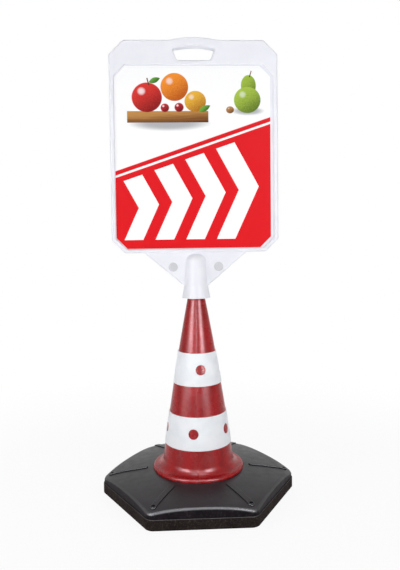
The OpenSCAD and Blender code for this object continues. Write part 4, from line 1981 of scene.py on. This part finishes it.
COOL = (0.93, 0.95, 1.0)
SOFT_BOXES = (
    SoftBox("left_strip", -62.0, 1.7, 0.5, 0.3, (0.6, 0.9), 8.5),
    SoftBox("right_strip", 42.0, 1.7, 0.66, 0.6, (0.6, 1.3), 7.8),
    SoftBox("bounce", 3.0, 1.2, 0.03, 6.0, (1.6, 0.6), 14.8, Reach.MATT),
    SoftBox("top", 0.0, 0.45, 2.3, 0.0, (0.9, 0.4), 4.0),
    SoftBox("back", 180.0, 2.2, 0.9, 0.6, (2.0, 1.2), 14.0, Reach.MATT),
    SoftBox("left_sheen", -44.0, 1.6, 1.02, 1.02, (0.7, 1.2), 74.0, Reach.SHEEN, COOL),
    SoftBox("right_sheen", 32.0, 1.6, 1.02, 1.02, (0.55, 1.2), 64.0, Reach.SHEEN, COOL),
    SoftBox("middle_sheen", -7.0, 1.9, 0.95, 0.95, (0.5, 1.2), 14.0, Reach.SHEEN, COOL),
    SoftBox("foot_sheen", 0.0, 1.4, 1.35, 0.1, (1.3, 0.5), 18.0, Reach.SHEEN, COOL),
    SoftBox("top_sheen", 0.0, 0.75, 2.1, 0.0, (1.2, 0.8), 30.0, Reach.SHEEN, COOL),
)


@dataclass
class Studio:
    """Camera, pale floor and soft lights."""

    eye: tuple[float, float, float] = (-0.0624, -1.514, 0.6727)
    yaw: float = math.radians(2.764)
    pitch: float = math.radians(2.792)
    roll: float = math.radians(-0.709)
    focal_px: float = 602.5
    middle_px: float = 255.5
    image_px: tuple[int, int] = (400, 570)
    sensor: float = 36.0
    floor_r: float = 9.0
    floor_steps: int = 96
    floor_glow: float = 0.9
    floor_near: float = 0.45
    floor_far: float = 1.3
    ambient: float = 0.39
    sky: tuple[float, float, float, float] = (0.97, 0.98, 1.0, 1.0)
    white: tuple[float, float, float, float] = (1.0, 1.0, 1.0, 1.0)
    paint: float = 0.88

    def camera(self) -> None:
        """Sets the camera up at the photograph's viewing angle."""
        level = math.cos(self.pitch)
        ahead = Vector((math.sin(self.yaw) * level, math.cos(self.yaw) * level, -math.sin(self.pitch)))
        right = Vector((math.cos(self.yaw), -math.sin(self.yaw), 0.0))
        upright = right.cross(ahead)
        tilt = Matrix.Rotation(-self.roll, len(ahead), ahead)
        axes = Matrix((tilt @ right, tilt @ upright, -ahead)).transposed()
        height_px = self.image_px[1]
        data = bpy.data.cameras.new("camera")
        data.sensor_width = self.sensor
        data.lens = self.focal_px / height_px * self.sensor
        data.shift_y = (self.middle_px - height_px / 2) / height_px
        made = bpy.data.objects.new("camera", data)
        made.matrix_world = Matrix.Translation(self.eye) @ axes.to_4x4()
        bpy.context.scene.collection.objects.link(made)
        bpy.context.scene.camera = made

    def seen(self, tree: NodeTree) -> NodeSocket:
        """Tells rays that show the background from rays that only light.

        Args:
            tree: The node tree to add to.

        Returns:
            1 for camera, glossy and transmission rays, and 0 for others.
        """
        path = tree.nodes.new("ShaderNodeLightPath")
        share = path.outputs["Is Camera Ray"]
        for name in ("Is Glossy Ray", "Is Transmission Ray"):
            either = tree.nodes.new("ShaderNodeMath")
            either.operation = "MAXIMUM"
            tree.links.new(share, either.inputs[0])
            tree.links.new(path.outputs[name], either.inputs[1])
            share = either.outputs[0]
        return share

    def world(self) -> None:
        """Makes the surroundings white to look at and dim as a light."""
        world = bpy.data.worlds.new("studio")
        world.use_nodes = True
        bpy.context.scene.world = world
        tree = world.node_tree
        dim = tree.nodes["Background"]
        dim.inputs["Color"].default_value = self.sky
        dim.inputs["Strength"].default_value = self.ambient
        white = tree.nodes.new("ShaderNodeBackground")
        white.inputs["Color"].default_value = self.white
        mixed = mix_shaders(tree, self.seen(tree), dim.outputs[0], white.outputs[0])
        tree.links.new(mixed, tree.nodes["World Output"].inputs["Surface"])

    def floor(self) -> None:
        """Lays a pale floor that shows white and keeps a soft shadow."""
        mesh = bmesh.new()
        bmesh.ops.create_circle(mesh, cap_ends=True, radius=self.floor_r, segments=self.floor_steps)
        floor = as_object(mesh, "floor")
        graph = Graph("floor")
        tree = graph.tree
        tree.nodes.remove(graph.shader)
        paint, shadow = graph.add("BsdfDiffuse"), graph.add("BsdfDiffuse")
        for node, tone in ((paint, self.paint), (shadow, 1 - self.floor_glow)):
            node.inputs["Color"].default_value = (tone, tone, tone, 1.0)
        glow = graph.add("Emission")
        glow.inputs["Strength"].default_value = self.floor_glow
        both = graph.add("AddShader")
        graph.feed(both.inputs[0], shadow.outputs[0])
        graph.feed(both.inputs[1], glow.outputs[0])
        x, y, _ = graph.parts(graph.place())
        far = graph.fade(graph.length(x, y), self.floor_near, self.floor_far)
        shown = mix_shaders(tree, far, both.outputs[0], graph.add("Emission").outputs[0])
        mixed = mix_shaders(tree, self.seen(tree), paint.outputs[0], shown)
        graph.feed(tree.nodes["Material Output"].inputs["Surface"], mixed)
        floor.data.materials.append(graph.material)

    def build(self) -> None:
        """Sets the whole studio up."""
        bpy.context.scene.view_settings.view_transform = "Standard"
        self.camera()
        for box in SOFT_BOXES:
            box.hang()
        self.world()
        self.floor()


def main() -> None:
    """Builds the sub-assemblies in order, then the studio."""
    logging.basicConfig(level=logging.INFO, format="%(name)s: %(message)s")
    for part in (Base("stand"), Cone("stand"), Bush("bush"), SignHead("sign_head")):
        part.build()
    Studio().build()


if __name__ == "__main__":
    main()
